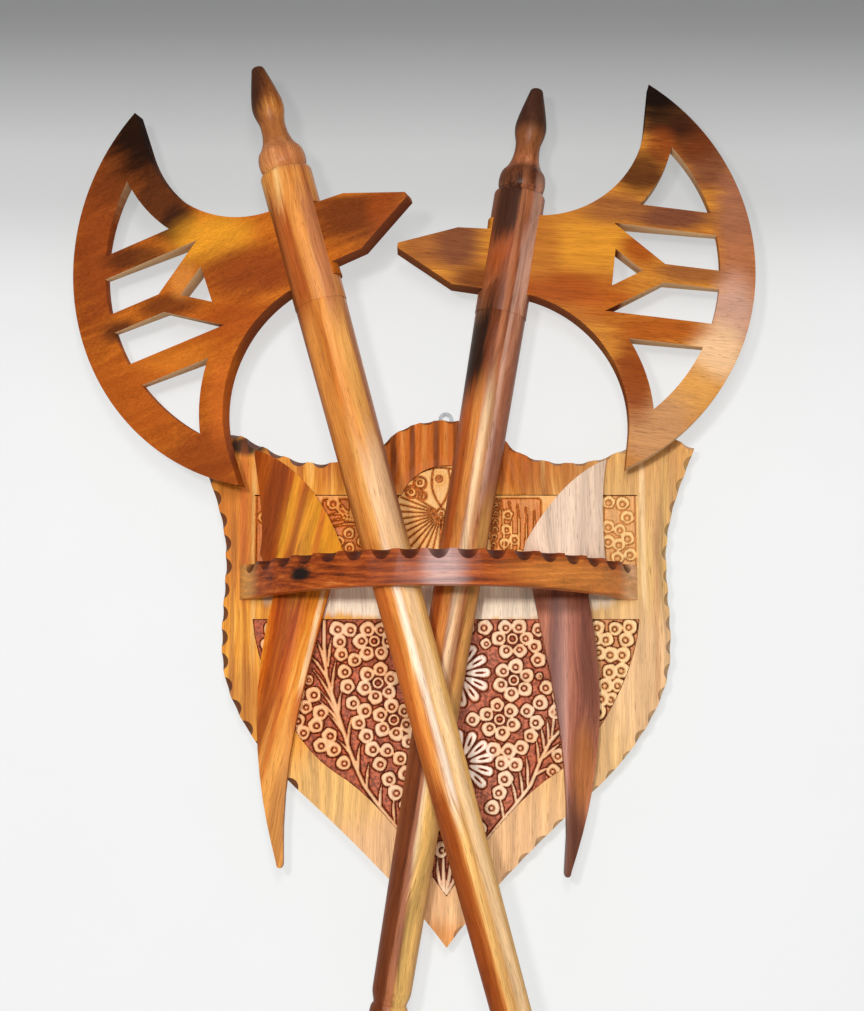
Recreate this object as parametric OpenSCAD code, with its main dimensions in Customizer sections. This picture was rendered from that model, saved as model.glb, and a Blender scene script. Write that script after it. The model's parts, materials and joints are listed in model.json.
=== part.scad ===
// Carved wall shield: a board with a bowed strap that holds two crossed axes and two daggers.
// Origin at the centre of the hanging eye on the wall. X to the right, Y into the wall, Z up.

/* [Board] */
// Thickness of the shield board
board_t = 18; // [15:0.5:24]
// Top of the arch down to the lower point
board_h = 312; // [290:1:340]
// Height of the eye's centre over the top of the arch
eye_rise = 4; // [3:0.5:6]
// Half width of the arch
arch_w = 38; // [32:1:44]
// Drop of the arch at its ends
arch_drop = 15; // [12:0.5:18]
// Half width to the bottom of the hollows beside the arch
valley_w = 76; // [70:1:82]
// Drop of the hollows
valley_drop = 26.5; // [22:0.5:30]
// Half width to the top of the ears
peak_w = 127; // [120:1:132]
// Drop of the ears' tops
peak_drop = 8.5; // [6:0.5:12]
// Half width to the ears' tips
ear_w = 150; // [142:1:156]
// Drop of the ears' tips
ear_drop = 17; // [14:0.5:22]
// Half width at the waist
waist_w = 131.5; // [126:0.5:136]
// Drop of the waist
waist_drop = 85; // [75:1:95]
// Half width at the belly
belly_w = 133; // [128:0.5:140]
// Drop of the belly
belly_drop = 140; // [130:1:150]
// Half width where the belly runs into the point
flank_w = 82; // [76:1:88]
// Drop where the belly runs into the point
flank_drop = 226; // [218:1:234]

/* [Carved panels] */
// Depth of the carved ground
panel_depth = 3.5; // [2:0.5:5]
// Drop of the upper panel's top edge
upper_top = 46; // [42:1:50]
// Drop of the upper panel's bottom edge
upper_low = 90; // [84:1:96]
// Half width of both panels at their outer corners
panel_w = 115; // [108:1:118]
// Radius of the fan over the upper panel
fan_r = 29; // [24:1:32]
// Drop of the fan's centre
fan_drop = 57; // [52:1:62]
// Drop of the lower panel's top edge
lower_top = 121; // [118:1:126]
// Half width where the lower panel turns in
turn_w = 66; // [62:1:70]
// Drop where the lower panel turns in
turn_drop = 211; // [206:1:216]
// Drop of the lower panel's point
lower_point = 283; // [276:1:288]

/* [Strap] */
// Outer width of the strap where it meets the board
strap_span = 237; // [228:1:244]
// Height of the strap
strap_h = 20.5; // [18:0.5:24]
// Thickness of the strap
strap_t = 8; // [6.5:0.5:9]
// Drop of the strap's top edge
strap_drop = 89; // [86:1:92]
// Strap's middle to the right of the board's middle
strap_x = -4.5; // [-6:0.5:6]
// Notches along the top front edge
notch_count = 17; // [9:1:19]
// Radius of the gouge that cut the notches
notch_r = 7; // [6:0.2:8]
// Depth of a notch down the front face
notch_depth = 6; // [4:0.5:7]
// Reach of a notch back over the top edge
notch_back = 5; // [3:0.5:5.5]

/* [Axe handles] */
// Diameter of the handles at the head
handle_d = 31; // [29:0.5:33]
// Diameter of the handles at the lower end
handle_end_d = 22.4; // [20:0.2:25]
// Right head's middle to the right of the board's middle
right_x = 38.5; // [34:0.5:43]
// Right head's middle over the top of the board
right_up = 95; // [85:1:105]
// Lean of the right axe
right_lean = 9.2; // [6:0.2:12]
// Turn of the right head about its handle
right_yaw = 0; // [-3:0.5:3]
// Right head's angle to its handle
right_cant = 3; // [0:0.5:4]
// Right shaft from the head's middle to the pommel
right_below = 442; // [420:1:450]
// Right handle from the head's middle to the finial
right_above = 42; // [38:1:50]
// Left head's middle to the left of the board's middle
left_x = 83; // [78:0.5:88]
// Left head's middle over the top of the board
left_up = 94; // [85:1:105]
// Lean of the left axe
left_lean = 15.1; // [12:0.2:18]
// Turn of the left head about its handle
left_yaw = 14; // [10:0.5:18]
// Left head's angle to its handle
left_cant = -3; // [-4:0.5:0]
// Left shaft from the head's middle to the pommel
left_below = 465; // [450:1:480]
// Left handle from the head's middle to the finial
left_above = 49; // [44:1:54]
// Joint of the handle below the head's middle
joint_below = 36; // [34:1:44]
// Diameter of the spigot in the joint
spigot_d = 14; // [10:0.5:18]
// Length of the spigot
spigot_l = 9; // [6:0.5:10]

/* [Finial and pommel] */
// Length of the finial
finial_l = 68; // [60:1:76]
// Diameter of the finial's bead
bead_d = 28.4; // [25:0.2:30]
// Diameter of the groove under the bead
groove_d = 25.6; // [22:0.2:27]
// Diameter of the finial's neck
neck_d = 15; // [12:0.2:17]
// Diameter of the finial's bud
bud_d = 19.2; // [17:0.2:22]
// Diameter of the finial's tip
tip_d = 8; // [6:0.5:10]
// Length of the shaft's taper over the pommel
shaft_end_l = 8; // [4:0.5:12]
// Length of the pommel
pommel_l = 28; // [24:1:34]
// Diameter of the pommel's bead
pommel_d = 22; // [20:0.5:24]
// Diameter of the pommel's neck
pommel_neck_d = 17; // [14:0.5:19]

/* [Axe heads] */
// Thickness of the heads at the handle
head_t = 15; // [12:0.5:16]
// Thickness at the cutting edge
edge_t = 4; // [3:0.5:6]
// Start of the blade's taper in front of the handle
taper_u = 58; // [50:1:70]
// Radius of the cutting edge
rim_r = 135.5; // [132:0.5:140]
// Width of the rim
rim_w = 21.5; // [18:0.5:24]
// Cutting edge's centre in front of the handle
rim_u = 13; // [10:0.5:16]
// Cutting edge's centre below the head's middle
rim_down = 4; // [2:0.5:6]
// Radius of the upper hollow
upper_bay_r = 64; // [60:0.5:66]
// Upper hollow's centre in front of the handle
upper_bay_u = 9; // [6:0.5:12]
// Upper hollow's centre over the head's middle
upper_bay_up = 91; // [88:0.5:94]
// Radius of the lower hollow
lower_bay_r = 80.5; // [77:0.5:83]
// Lower hollow's centre in front of the handle
lower_bay_u = 0.5; // [-2:0.5:3]
// Lower hollow's centre below the head's middle
lower_bay_down = 102; // [100:0.5:105]
// Width of the upper horn's strut
upper_strut = 18.5; // [14:0.5:20]
// Width of the lower horn's strut
lower_strut = 15; // [12:0.5:18]
// Height of the upper bar
bar_1 = 13.5; // [10:0.5:15]
// Upper bar's middle over the head's middle
bar_1_up = 34.2; // [32:0.2:36]
// Height of the middle bar
bar_2 = 11.5; // [9:0.5:13]
// Height of the lower bar
bar_3 = 15; // [11:0.5:16]
// Lower bar's middle below the head's middle
bar_3_down = 35.1; // [34:0.2:37]
// Hub's outer edge in front of the handle
hub_u = 62.5; // [58:0.5:66]
// Length of the hub's forked struts
fork_l = 17.5; // [14:0.5:20]
// Half height of the gap in the fork
fork_h = 11.5; // [9:0.5:13]
// Width of the forked struts
fork_w = 12; // [9:0.5:13]
// Length of the spike from the handle's middle
spike_l = 68; // [60:1:76]
// Height of the spike at the handle
spike_h = 39; // [36:0.5:40]
// Spike's shoulders behind the handle's middle
spike_shoulder = 33; // [28:1:40]
// Right spike's middle over the head's middle
right_spike_up = -3; // [-3:0.5:3]
// Left spike's middle over the head's middle
left_spike_up = 3; // [-3:0.5:3]
// Height of the tenon in the handle
tenon_h = 46; // [44.5:0.5:47]
// Diameter of the head's peg
peg_d = 6; // [4:0.5:8]
// Wood left in front of the peg's blind hole
peg_skin = 4; // [3:0.5:6]

/* [Daggers] */
// Thickness of the daggers
dagger_t = 10; // [8:0.5:11]
// Radius of the domed front
dagger_dome_r = 60; // [55:1:80]
// Ledge to the top of a dagger
dagger_top = 68; // [62:1:72]
// Ledge to the tip of a dagger
dagger_low = 179; // [165:1:185]
// Width of a dagger over the ledge
dagger_w = 52; // [48:0.5:54]
// Depth of the ledge
ledge_w = 6.5; // [5:0.5:8]
// Width of a dagger under the ledge
dagger_neck_w = 34.5; // [32:0.5:36]
// Diameter of the daggers' pegs
dagger_peg_d = 5; // [4:0.5:6]
// Pegs' height over the board
dagger_peg_out = 6; // [4:0.5:7]
// Pegs' depth in the board
dagger_peg_in = 9; // [6:0.5:11]
// Right dagger's middle inside the strap's right end
right_dagger_in = 44; // [40:0.5:48]
// Drop of the right dagger's ledge
right_dagger_drop = 93; // [91:0.5:96]
// Lean of the right dagger
right_dagger_lean = 0; // [-1:0.2:1]
// Right dagger's top outside its outer edge
right_sweep = 1.5; // [0:0.5:4]
// Heel of the right dagger's curved edge over its ledge
right_heel = 9; // [6:0.5:10]
// Left dagger's middle inside the strap's left end
left_dagger_in = 37; // [35:0.5:40]
// Drop of the left dagger's ledge
left_dagger_drop = 88; // [87:0.5:94]
// Lean of the left dagger
left_dagger_lean = 3.4; // [1:0.2:4]
// Left dagger's top outside its outer edge
left_sweep = 9; // [4:0.5:10]
// Heel of the left dagger's curved edge over its ledge
left_heel = 2; // [1.5:0.5:6]

/* [Hanging plate] */
// Thickness of the plate
plate_t = 1.5; // [1:0.1:2.5]
// Radius of the eye's hole
eye_r = 2.4; // [2:0.1:2.8]
// Outer radius of the eye
eye_outer_r = 4.4; // [4:0.1:5.5]
// Width of the plate
plate_w = 15; // [13:0.5:20]
// Eye's centre down to the plate's lower end
plate_low = 40; // [36:1:50]
// Eye's centre down to the upper screw
plate_screw_1 = 19; // [17:0.5:22]
// Between the plate's screws
plate_screw_pitch = 14; // [12:0.5:16]

/* [Screws] */
// Diameter of the screws' shanks
screw_d = 3; // [2.5:0.1:3.4]
// Diameter of the screws' heads
screw_head_d = 6; // [5:0.2:7]
// Length of the plate's screws
plate_screw_l = 12; // [8:1:13]
// Depth of the strap's screws in its feet
foot_grip = 6; // [5:0.5:7]
// Between the two screws of a foot
foot_pitch = 10; // [8:0.5:12]

/* [Clearances] */
// Gap between glued or pinned pieces
fit = 0.1; // [0.05:0.05:0.2]
// Gap between pieces that lift off and their seats
seat_gap = 0.3; // [0.2:0.05:0.5]
// Room between the drawn dagger and the right axe's head
draw_gap = 0.6; // [0.4:0.1:1]
// Room between the left handle's line and the strap's crown
crown_gap = 4.7; // [4.4:0.1:5.4]

/* [Hidden] */
$fn = 96;
// Points on each curved stretch of an outline
steps = 10;
// Overshoot of a cut past the face that it opens
over = 1;
// Length of a cut that goes right through everything
through = 400;

golden = [0.80, 0.55, 0.28];
reddish = [0.55, 0.27, 0.12];
brown = [0.62, 0.38, 0.20];
steel = [0.62, 0.63, 0.64];

top_z = -eye_rise;

// Points of a cubic curve from a towards d, without d itself
function curve(a, b, c, d) = [for (i = [0 : steps - 1])
    let (t = i / steps, s = 1 - t) s * s * s * a + 3 * s * s * t * b + 3 * s * t * t * c + t * t * t * d];
function flipped(points) = [for (i = [len(points) - 1 : -1 : 0]) [-points[i][0], points[i][1]]];

// Half of the board's outline, from the arch down the right side to the point
arch_end = [arch_w, -arch_drop];
valley = [valley_w, -valley_drop];
peak = [peak_w, -peak_drop];
ear = [ear_w, -ear_drop];
waist = [waist_w, -waist_drop];
belly = [belly_w, -belly_drop];
flank = [flank_w, -flank_drop];
point = [0, -board_h];
board_half = concat(
    curve([0, 0], [20, 0], arch_end + [-7, 8], arch_end),
    curve(arch_end, arch_end + [7, -8], valley + [-16, 0], valley),
    curve(valley, valley + [22, 0], peak + [-14, -5], peak),
    curve(peak, peak + [5, 1.8], ear + [-11, 3.5], ear),
    curve(ear, ear + [-5, -15], waist + [0.5, 30], waist),
    curve(waist, waist + [0, -20], belly + [1, 18], belly),
    curve(belly, belly + [0, -30], flank + [26, 22], flank),
    curve(flank, flank + [-30, -27], point + [20, 27], point));
board_outline = concat(board_half, [point], flipped(board_half));

// Half of the lower panel, from its middle along the top and down the right side
panel_corner = [panel_w, -lower_top];
panel_turn = [turn_w, -turn_drop];
panel_point = [0, -lower_point];
lower_half = concat([[0, -lower_top]],
    curve(panel_corner, panel_corner + [-2, -32], panel_turn + [22, 14], panel_turn),
    curve(panel_turn, panel_turn + [-26, -15], panel_point + [18, 25], panel_point));
lower_outline = concat(lower_half, [panel_point], flipped(lower_half));

// Handles: radius at a length below the head's middle, and the crossing of the two axes
function handle_r(down, full) = (handle_d - (handle_d - handle_end_d) * max(down, 0) / full) / 2;
right_slope = tan(right_lean);
left_slope = tan(left_lean);
cross_up = (right_slope * right_up + left_slope * left_up - right_x - left_x)
    / (right_slope + left_slope);
right_cross_r = handle_r((right_up - cross_up) / cos(right_lean), right_below);
left_cross_r = handle_r((left_up - cross_up) / cos(left_lean), left_below);

right_y = -board_t - max(handle_d / 2 + seat_gap, seat_gap + dagger_t + draw_gap + head_t / 2);
left_y = right_y - right_cross_r - left_cross_r - seat_gap;

// Strap: a bow from foot to foot that clears the front of the left handle
strap_mid = strap_drop + strap_h / 2;
left_front = -left_y + handle_r((left_up + strap_mid) / cos(left_lean), left_below);
strap_rise = left_front + crown_gap + strap_t - board_t;
strap_r = (strap_span * strap_span / 4 + strap_rise * strap_rise) / (2 * strap_rise);
strap_y = strap_r - strap_rise - board_t;
strap_half_angle = asin(strap_span / 2 / strap_r);
// Strap's centre line at half the depth of the foot screws
foot_c = strap_r - strap_rise + foot_grip / 2;
foot_x = (sqrt(strap_r * strap_r - foot_c * foot_c)
    + sqrt((strap_r - strap_t) * (strap_r - strap_t) - foot_c * foot_c)) / 2;
left_dagger_x = strap_x - strap_span / 2 + left_dagger_in;
right_dagger_x = strap_x + strap_span / 2 - right_dagger_in;
// Width of a notch along the arc, and the angle between notches
notch_step = 2 * strap_half_angle / (notch_count + 0.6);
// Tilt of the gouge, and its middle in front of the face at the height of the top edge
notch_tilt = atan(notch_back / notch_depth);
notch_out = notch_r / cos(notch_tilt) - notch_back;

// Turned profile of the upper handle from the joint to the finial's tip, as radius and height
function top_profile(above) = concat(
    [[0, -joint_below], [handle_d / 2, -joint_below], [handle_d / 2, above - 3]],
    curve([handle_d / 2, above - 3], [handle_d / 2, above - 1],
        [groove_d / 2 + 1, above], [groove_d / 2, above]),
    curve([groove_d / 2, above + 1], [bead_d / 2 + 0.6, above + 2], [bead_d / 2 + 0.6, above + 12],
        [bead_d / 2 - 2.4, above + 14]),
    curve([bead_d / 2 - 2.4, above + 14], [neck_d / 2 + 2, above + 17], [neck_d / 2, above + 21],
        [neck_d / 2, above + 29]),
    curve([neck_d / 2, above + 29], [neck_d / 2, above + 34],
        [bud_d / 2, above + 36], [bud_d / 2, above + 42]),
    curve([bud_d / 2, above + 42], [bud_d / 2, above + 47], [tip_d / 2 + 1, above + finial_l - 6],
        [tip_d / 2, above + finial_l - 2]),
    curve([tip_d / 2, above + finial_l - 2], [tip_d / 2 - 0.5, above + finial_l - 0.5],
        [tip_d / 4, above + finial_l], [0, above + finial_l]),
    [[0, above + finial_l]]);

// Turned profile of the shaft from the joint down to the pommel, as radius and height
function shaft_profile(below) = concat(
    [[0, -joint_below], [handle_r(joint_below, below), -joint_below],
        [handle_r(below, below), shaft_end_l - below]],
    curve([handle_r(below, below), shaft_end_l - below], [handle_r(below, below), shaft_end_l / 2 - below],
        [pommel_neck_d / 2 + 1.5, shaft_end_l / 4 - below], [pommel_neck_d / 2 + 1, -below]),
    curve([pommel_neck_d / 2 + 1, -1 - below], [pommel_d / 2 + 0.4, -1.5 - below],
        [pommel_d / 2 + 0.4, -11.5 - below], [pommel_neck_d / 2 + 1, -12 - below]),
    curve([pommel_neck_d / 2, -13 - below], [pommel_neck_d / 2 - 0.5, -15 - below],
        [pommel_d / 2 - 0.5, -16 - below], [pommel_d / 2 - 0.5, -20 - below]),
    curve([pommel_d / 2 - 0.5, -20 - below], [pommel_d / 2 - 0.5, 2 - pommel_l - below],
        [pommel_d / 4, -pommel_l - below], [0, -pommel_l - below]),
    [[0, -pommel_l - below]]);

// Outline of a right dagger about the middle of its ledge line
ledge_in = -dagger_w / 2 - 1;
neck_in = ledge_in + ledge_w;
neck_out = neck_in + dagger_neck_w;
out_x = ledge_in + dagger_w;
dagger_tip = [0, -dagger_low];
function dagger_outline(sweep, heel) = concat(
    curve([out_x, 4], [out_x - 2, 24], [out_x + sweep - 4, dagger_top - 20], [out_x + sweep, dagger_top]),
    curve([out_x + sweep, dagger_top], [out_x - 19, dagger_top - 9],
        [ledge_in + 13.5, 37], [ledge_in, heel]),
    [[ledge_in, 0]],
    curve([neck_in, 0], [neck_in + 8.5, -53], [neck_in + 25.5, 74 - dagger_low], dagger_tip + [-2, 3]),
    curve(dagger_tip + [-2, 3], dagger_tip + [-1.6, -1], dagger_tip + [1.6, -1], dagger_tip + [2, 3]),
    curve(dagger_tip + [2, 3], dagger_tip + [13, 36], [neck_out + 15, -90], [neck_out, -15]),
    [[neck_out, -15]]);

module plate(t, outline) {
    rotate([90, 0, 0])
        linear_extrude(t)
            polygon(outline);
}

// Disc of an axe head, square to the blade's plane, at a place in that plane
module disc(r, u, w, t) {
    translate([u, t / 2, w])
        rotate([90, 0, 0])
            cylinder(r = r, h = t);
}

module slab(t, outline) {
    translate([0, t / 2, 0])
        plate(t, outline);
}

module screw(length) {
    rotate([90, 0, 0]) {
        cylinder(d = screw_d, h = length);
        cylinder(d1 = screw_head_d, d2 = screw_d, h = (screw_head_d - screw_d) / 2);
    }
}

module screw_hole(length) {
    rotate([90, 0, 0]) {
        cylinder(d = screw_d + 2 * fit, h = length + fit);
        translate([0, 0, -over])
            cylinder(d1 = screw_head_d + 2 * fit + 2 * over, d2 = screw_d + 2 * fit,
                h = (screw_head_d - screw_d) / 2 + over);
    }
}

module at_strap_screws() {
    for (side = [-1, 1], row = [-1, 1])
        translate([strap_x + side * foot_x, 0, top_z - strap_mid + row * foot_pitch / 2])
            children();
}

module at_plate_screws() {
    for (i = [0, 1])
        translate([0, 0, -plate_screw_1 - i * plate_screw_pitch])
            children();
}

module at_right_axe() {
    translate([right_x, right_y, top_z + right_up])
        rotate([0, right_lean, 0])
            rotate([0, 0, right_yaw])
                children();
}

module at_left_axe() {
    translate([-left_x, left_y, top_z + left_up])
        rotate([0, -left_lean, 0])
            rotate([0, 0, -left_yaw])
                mirror([1, 0, 0])
                    children();
}

module at_right_dagger() {
    translate([right_dagger_x, -board_t - seat_gap, top_z - right_dagger_drop])
        rotate([0, right_dagger_lean, 0])
            children();
}

module at_left_dagger() {
    translate([left_dagger_x, -board_t - seat_gap, top_z - left_dagger_drop])
        rotate([0, left_dagger_lean, 0])
            mirror([1, 0, 0])
                children();
}

module dagger_peg(grow) {
    translate([(ledge_in + neck_in) / 2 - 0.5, dagger_peg_in + seat_gap + grow,
            -seat_gap - dagger_peg_d / 2])
        rotate([90, 0, 0])
            cylinder(d = dagger_peg_d + 2 * grow, h = dagger_peg_in + dagger_peg_out + 2 * grow);
}

module hanging_plate_blank(grow) {
    half = plate_w / 2 + grow;
    low = plate_low + grow;
    top = eye_outer_r + grow;
    rotate([90, 0, 0]) {
        cylinder(r = top, h = plate_t + grow);
        linear_extrude(plate_t + grow)
            polygon([[-top, 0], [-half, -12], [-half, -low], [half, -low], [half, -12], [top, 0]]);
    }
}

module shield_board() {
    color(golden)
        difference() {
            translate([0, 0, top_z])
                plate(board_t, board_outline);
            translate([0, panel_depth - board_t, top_z]) {
                plate(panel_depth + over, lower_outline);
                plate(panel_depth + over, [[-panel_w, -upper_top], [panel_w, -upper_top],
                    [panel_w, -upper_low], [-panel_w, -upper_low]]);
                translate([0, 0, -fan_drop])
                    rotate([90, 0, 0])
                        cylinder(r = fan_r, h = panel_depth + over);
            }
            translate([0, over, 0])
                hanging_plate_blank(fit + over);
            at_plate_screws()
                screw_hole(plate_screw_l);
            at_strap_screws()
                screw_hole(board_t + over);
            at_left_dagger()
                dagger_peg(fit);
            at_right_dagger()
                dagger_peg(fit);
        }
}

module strap() {
    color(reddish)
        difference() {
            translate([strap_x, strap_y, top_z - strap_drop - strap_h])
                cylinder(r = strap_r, h = strap_h);
            translate([strap_x, strap_y, top_z - strap_drop - strap_h - over])
                cylinder(r = strap_r - strap_t, h = strap_h + 2 * over);
            translate([-through, -board_t, -through])
                cube([2 * through, 2 * through, 2 * through]);
            translate([strap_x, strap_y, top_z - strap_drop])
                for (i = [0 : notch_count - 1])
                    rotate([0, 0, (i - (notch_count - 1) / 2) * notch_step])
                        translate([0, -strap_r - notch_out, 0])
                            rotate([-notch_tilt, 0, 0])
                                cylinder(r = notch_r, h = 4 * notch_r, center = true);
            at_strap_screws()
                screw_hole(board_t + foot_grip);
        }
}

module strap_screws() {
    color(steel)
        at_strap_screws()
            screw(board_t + foot_grip);
}

module hanging_plate() {
    color(steel)
        difference() {
            hanging_plate_blank(0);
            rotate([90, 0, 0])
                translate([0, 0, -over])
                    cylinder(r = eye_r, h = plate_t + 2 * over);
            at_plate_screws()
                screw_hole(plate_screw_l);
        }
}

module hanging_plate_screws() {
    color(steel)
        at_plate_screws()
            screw(plate_screw_l);
}

module dagger_pegs() {
    color(brown) {
        at_left_dagger()
            dagger_peg(0);
        at_right_dagger()
            dagger_peg(0);
    }
}

// Dowel from the back of the handle, blind towards the front
module head_peg_shape(grow) {
    translate([0, handle_d / 2 - 0.5 + grow * 10, 0])
        rotate([90, 0, 0])
            cylinder(d = peg_d + 2 * grow, h = handle_d - peg_skin - 0.5 + grow * 11);
}

module handle_top(above, cant) {
    difference() {
        rotate_extrude()
            polygon(top_profile(above));
        rotate([0, -cant, 0])
            cube([2 * handle_d, head_t + 2 * fit, tenon_h + 2 * fit], center = true);
        translate([0, 0, -joint_below - over])
            cylinder(d = spigot_d + 2 * fit, h = spigot_l + over + fit);
        head_peg_shape(fit);
    }
}

// Windows of the blade between its rim, struts and bars
module head_windows(t) {
    bar_1_top = bar_1_up + bar_1 / 2;
    bar_1_low = bar_1_up - bar_1 / 2;
    bar_3_top = -bar_3_down + bar_3 / 2;
    bar_3_low = -bar_3_down - bar_3 / 2;
    // Fork's outer edge, moved out from the gap's edge by the width of its struts
    fork_slope = fork_h / fork_l;
    fork_side = fork_w * sqrt(1 + 1 / (fork_slope * fork_slope));
    fork_far = hub_u + fork_l + fork_side;
    intersection() {
        disc(rim_r - rim_w, rim_u, -rim_down, t);
        union() {
            difference() {
                slab(t, [[0, bar_1_top], [rim_r + rim_u, bar_1_top], [rim_r + rim_u, rim_r], [0, rim_r]]);
                disc(upper_bay_r + upper_strut, upper_bay_u, upper_bay_up, t + 2 * over);
            }
            slab(t, [[fork_far - bar_1_low / fork_slope, bar_1_low],
                [fork_far - bar_2 / 2 / fork_slope, bar_2 / 2],
                [rim_r + rim_u, bar_2 / 2], [rim_r + rim_u, bar_1_low]]);
            slab(t, [[fork_far + bar_3_top / fork_slope, bar_3_top],
                [fork_far - bar_2 / 2 / fork_slope, -bar_2 / 2],
                [rim_r + rim_u, -bar_2 / 2], [rim_r + rim_u, bar_3_top]]);
            difference() {
                slab(t, [[0, bar_3_low], [rim_r + rim_u, bar_3_low], [rim_r + rim_u, -rim_r], [0, -rim_r]]);
                disc(lower_bay_r + lower_strut, lower_bay_u, -lower_bay_down, t + 2 * over);
            }
        }
    }
    slab(t, [[hub_u, fork_h], [hub_u + fork_l, 0], [hub_u, -fork_h]]);
}

// Wedge that gives the head its thickness, from the handle out to the cutting edge
module head_wedge() {
    far = rim_u + rim_r;
    translate([0, 0, -through / 2])
        linear_extrude(through)
            polygon([[-through, -head_t / 2], [taper_u, -head_t / 2], [far, -edge_t / 2],
                [far, edge_t / 2], [taper_u, head_t / 2], [-through, head_t / 2]]);
}

module axe_head(cant, spike_up) {
    cut_t = head_t + 2 * over;
    rotate([0, -cant, 0])
        difference() {
            intersection() {
                head_wedge();
                union() {
                    difference() {
                        disc(rim_r, rim_u, -rim_down, head_t);
                        disc(upper_bay_r, upper_bay_u, upper_bay_up, cut_t);
                        translate([0, -cut_t / 2, upper_bay_up])
                            cube([upper_bay_u + upper_bay_r, cut_t, rim_r]);
                        disc(lower_bay_r, lower_bay_u, -lower_bay_down, cut_t);
                        translate([0, -cut_t / 2, -lower_bay_down - rim_r])
                            cube([lower_bay_u + lower_bay_r, cut_t, rim_r]);
                        translate([-through, -through / 2, -through / 2])
                            cube([through, through, through]);
                    }
                    intersection() {
                        cylinder(d = handle_d, h = tenon_h, center = true);
                        cube([2 * handle_d, head_t, tenon_h], center = true);
                    }
                    translate([0, 0, spike_up])
                        slab(head_t, [[over, spike_h / 2], [-spike_shoulder, spike_h / 2 - 2], [-spike_l, 4],
                            [-spike_l, 1], [-spike_shoulder, 1.5 - spike_h / 2], [over, -spike_h / 2]]);
                }
            }
            head_windows(cut_t);
            // Shoulders coped to the round handle over and under the tenon
            difference() {
                rotate([0, cant, 0])
                    cylinder(d = handle_d + 2 * fit, h = 3 * tenon_h, center = true);
                cube([2 * handle_d, cut_t + 2 * over, tenon_h], center = true);
            }
            rotate([0, cant, 0])
                head_peg_shape(fit);
        }
}

module shaft(below) {
    rotate_extrude()
        polygon(shaft_profile(below));
    translate([0, 0, -joint_below - over])
        cylinder(d = spigot_d, h = spigot_l + over);
}

module left_handle_top() {
    color(golden)
        at_left_axe()
            handle_top(left_above, left_cant);
}

module left_axe_head() {
    color(brown)
        at_left_axe()
            axe_head(left_cant, left_spike_up);
}

module left_head_peg() {
    color(reddish)
        at_left_axe()
            head_peg_shape(0);
}

module left_shaft() {
    color(golden)
        at_left_axe()
            shaft(left_below);
}

module right_handle_top() {
    color(reddish)
        at_right_axe()
            handle_top(right_above, right_cant);
}

module right_axe_head() {
    color(brown)
        at_right_axe()
            axe_head(right_cant, right_spike_up);
}

module right_head_peg() {
    color(reddish)
        at_right_axe()
            head_peg_shape(0);
}

module right_shaft() {
    color(golden)
        at_right_axe()
            shaft(right_below);
}

module dagger(sweep, heel) {
    intersection() {
        plate(dagger_t, dagger_outline(sweep, heel));
        translate([0, dagger_dome_r - dagger_t, -through / 2])
            cylinder(r = dagger_dome_r, h = through);
    }
}

module left_dagger() {
    color(golden)
        at_left_dagger()
            dagger(left_sweep, left_heel);
}

module right_dagger() {
    color(reddish)
        at_right_dagger()
            dagger(right_sweep, right_heel);
}

shield_board();
strap();
strap_screws();
hanging_plate();
hanging_plate_screws();
dagger_pegs();
left_handle_top();
left_axe_head();
left_head_peg();
left_shaft();
right_handle_top();
right_axe_head();
right_head_peg();
right_shaft();
left_dagger();
right_dagger();
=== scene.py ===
"""Looks of the carved wall shield: worked edges, carved panels, varnished wood, a wall and soft light."""
import json
import math

import bmesh
import bpy
import numpy as np
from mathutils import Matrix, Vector


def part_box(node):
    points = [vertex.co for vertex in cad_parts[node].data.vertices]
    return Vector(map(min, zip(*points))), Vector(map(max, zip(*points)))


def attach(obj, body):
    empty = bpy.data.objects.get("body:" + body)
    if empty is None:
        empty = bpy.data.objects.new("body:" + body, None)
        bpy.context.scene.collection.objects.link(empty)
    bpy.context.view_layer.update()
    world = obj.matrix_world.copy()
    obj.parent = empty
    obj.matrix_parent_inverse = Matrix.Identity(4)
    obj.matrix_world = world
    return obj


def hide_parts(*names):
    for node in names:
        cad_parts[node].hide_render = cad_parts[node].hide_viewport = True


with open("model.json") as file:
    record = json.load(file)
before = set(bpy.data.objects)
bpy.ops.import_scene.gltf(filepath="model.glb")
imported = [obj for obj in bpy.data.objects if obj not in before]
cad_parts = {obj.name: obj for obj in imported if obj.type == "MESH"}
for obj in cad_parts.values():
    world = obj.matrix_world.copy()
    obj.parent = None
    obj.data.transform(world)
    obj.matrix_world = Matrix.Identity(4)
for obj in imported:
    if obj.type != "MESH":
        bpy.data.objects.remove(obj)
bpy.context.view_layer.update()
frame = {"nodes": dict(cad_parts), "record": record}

MM = 0.001
BODY_OF = {node: body for body, nodes in frame["record"]["behaviour"]["bodies"].items() for node in nodes}
BOARD_LOW, BOARD_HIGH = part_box("shield_board")
FRONT_Y = BOARD_LOW[1] / MM
TOP_Z = BOARD_HIGH[2] / MM
PANEL_DEPTH = 3.5
# Ways in the shared frame
RIGHT, BACK, FRONT, UP, DOWN = (1, 0, 0), (0, 1, 0), (0, -1, 0), (0, 0, 1), (0, 0, -1)


# Shader nodes

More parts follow.
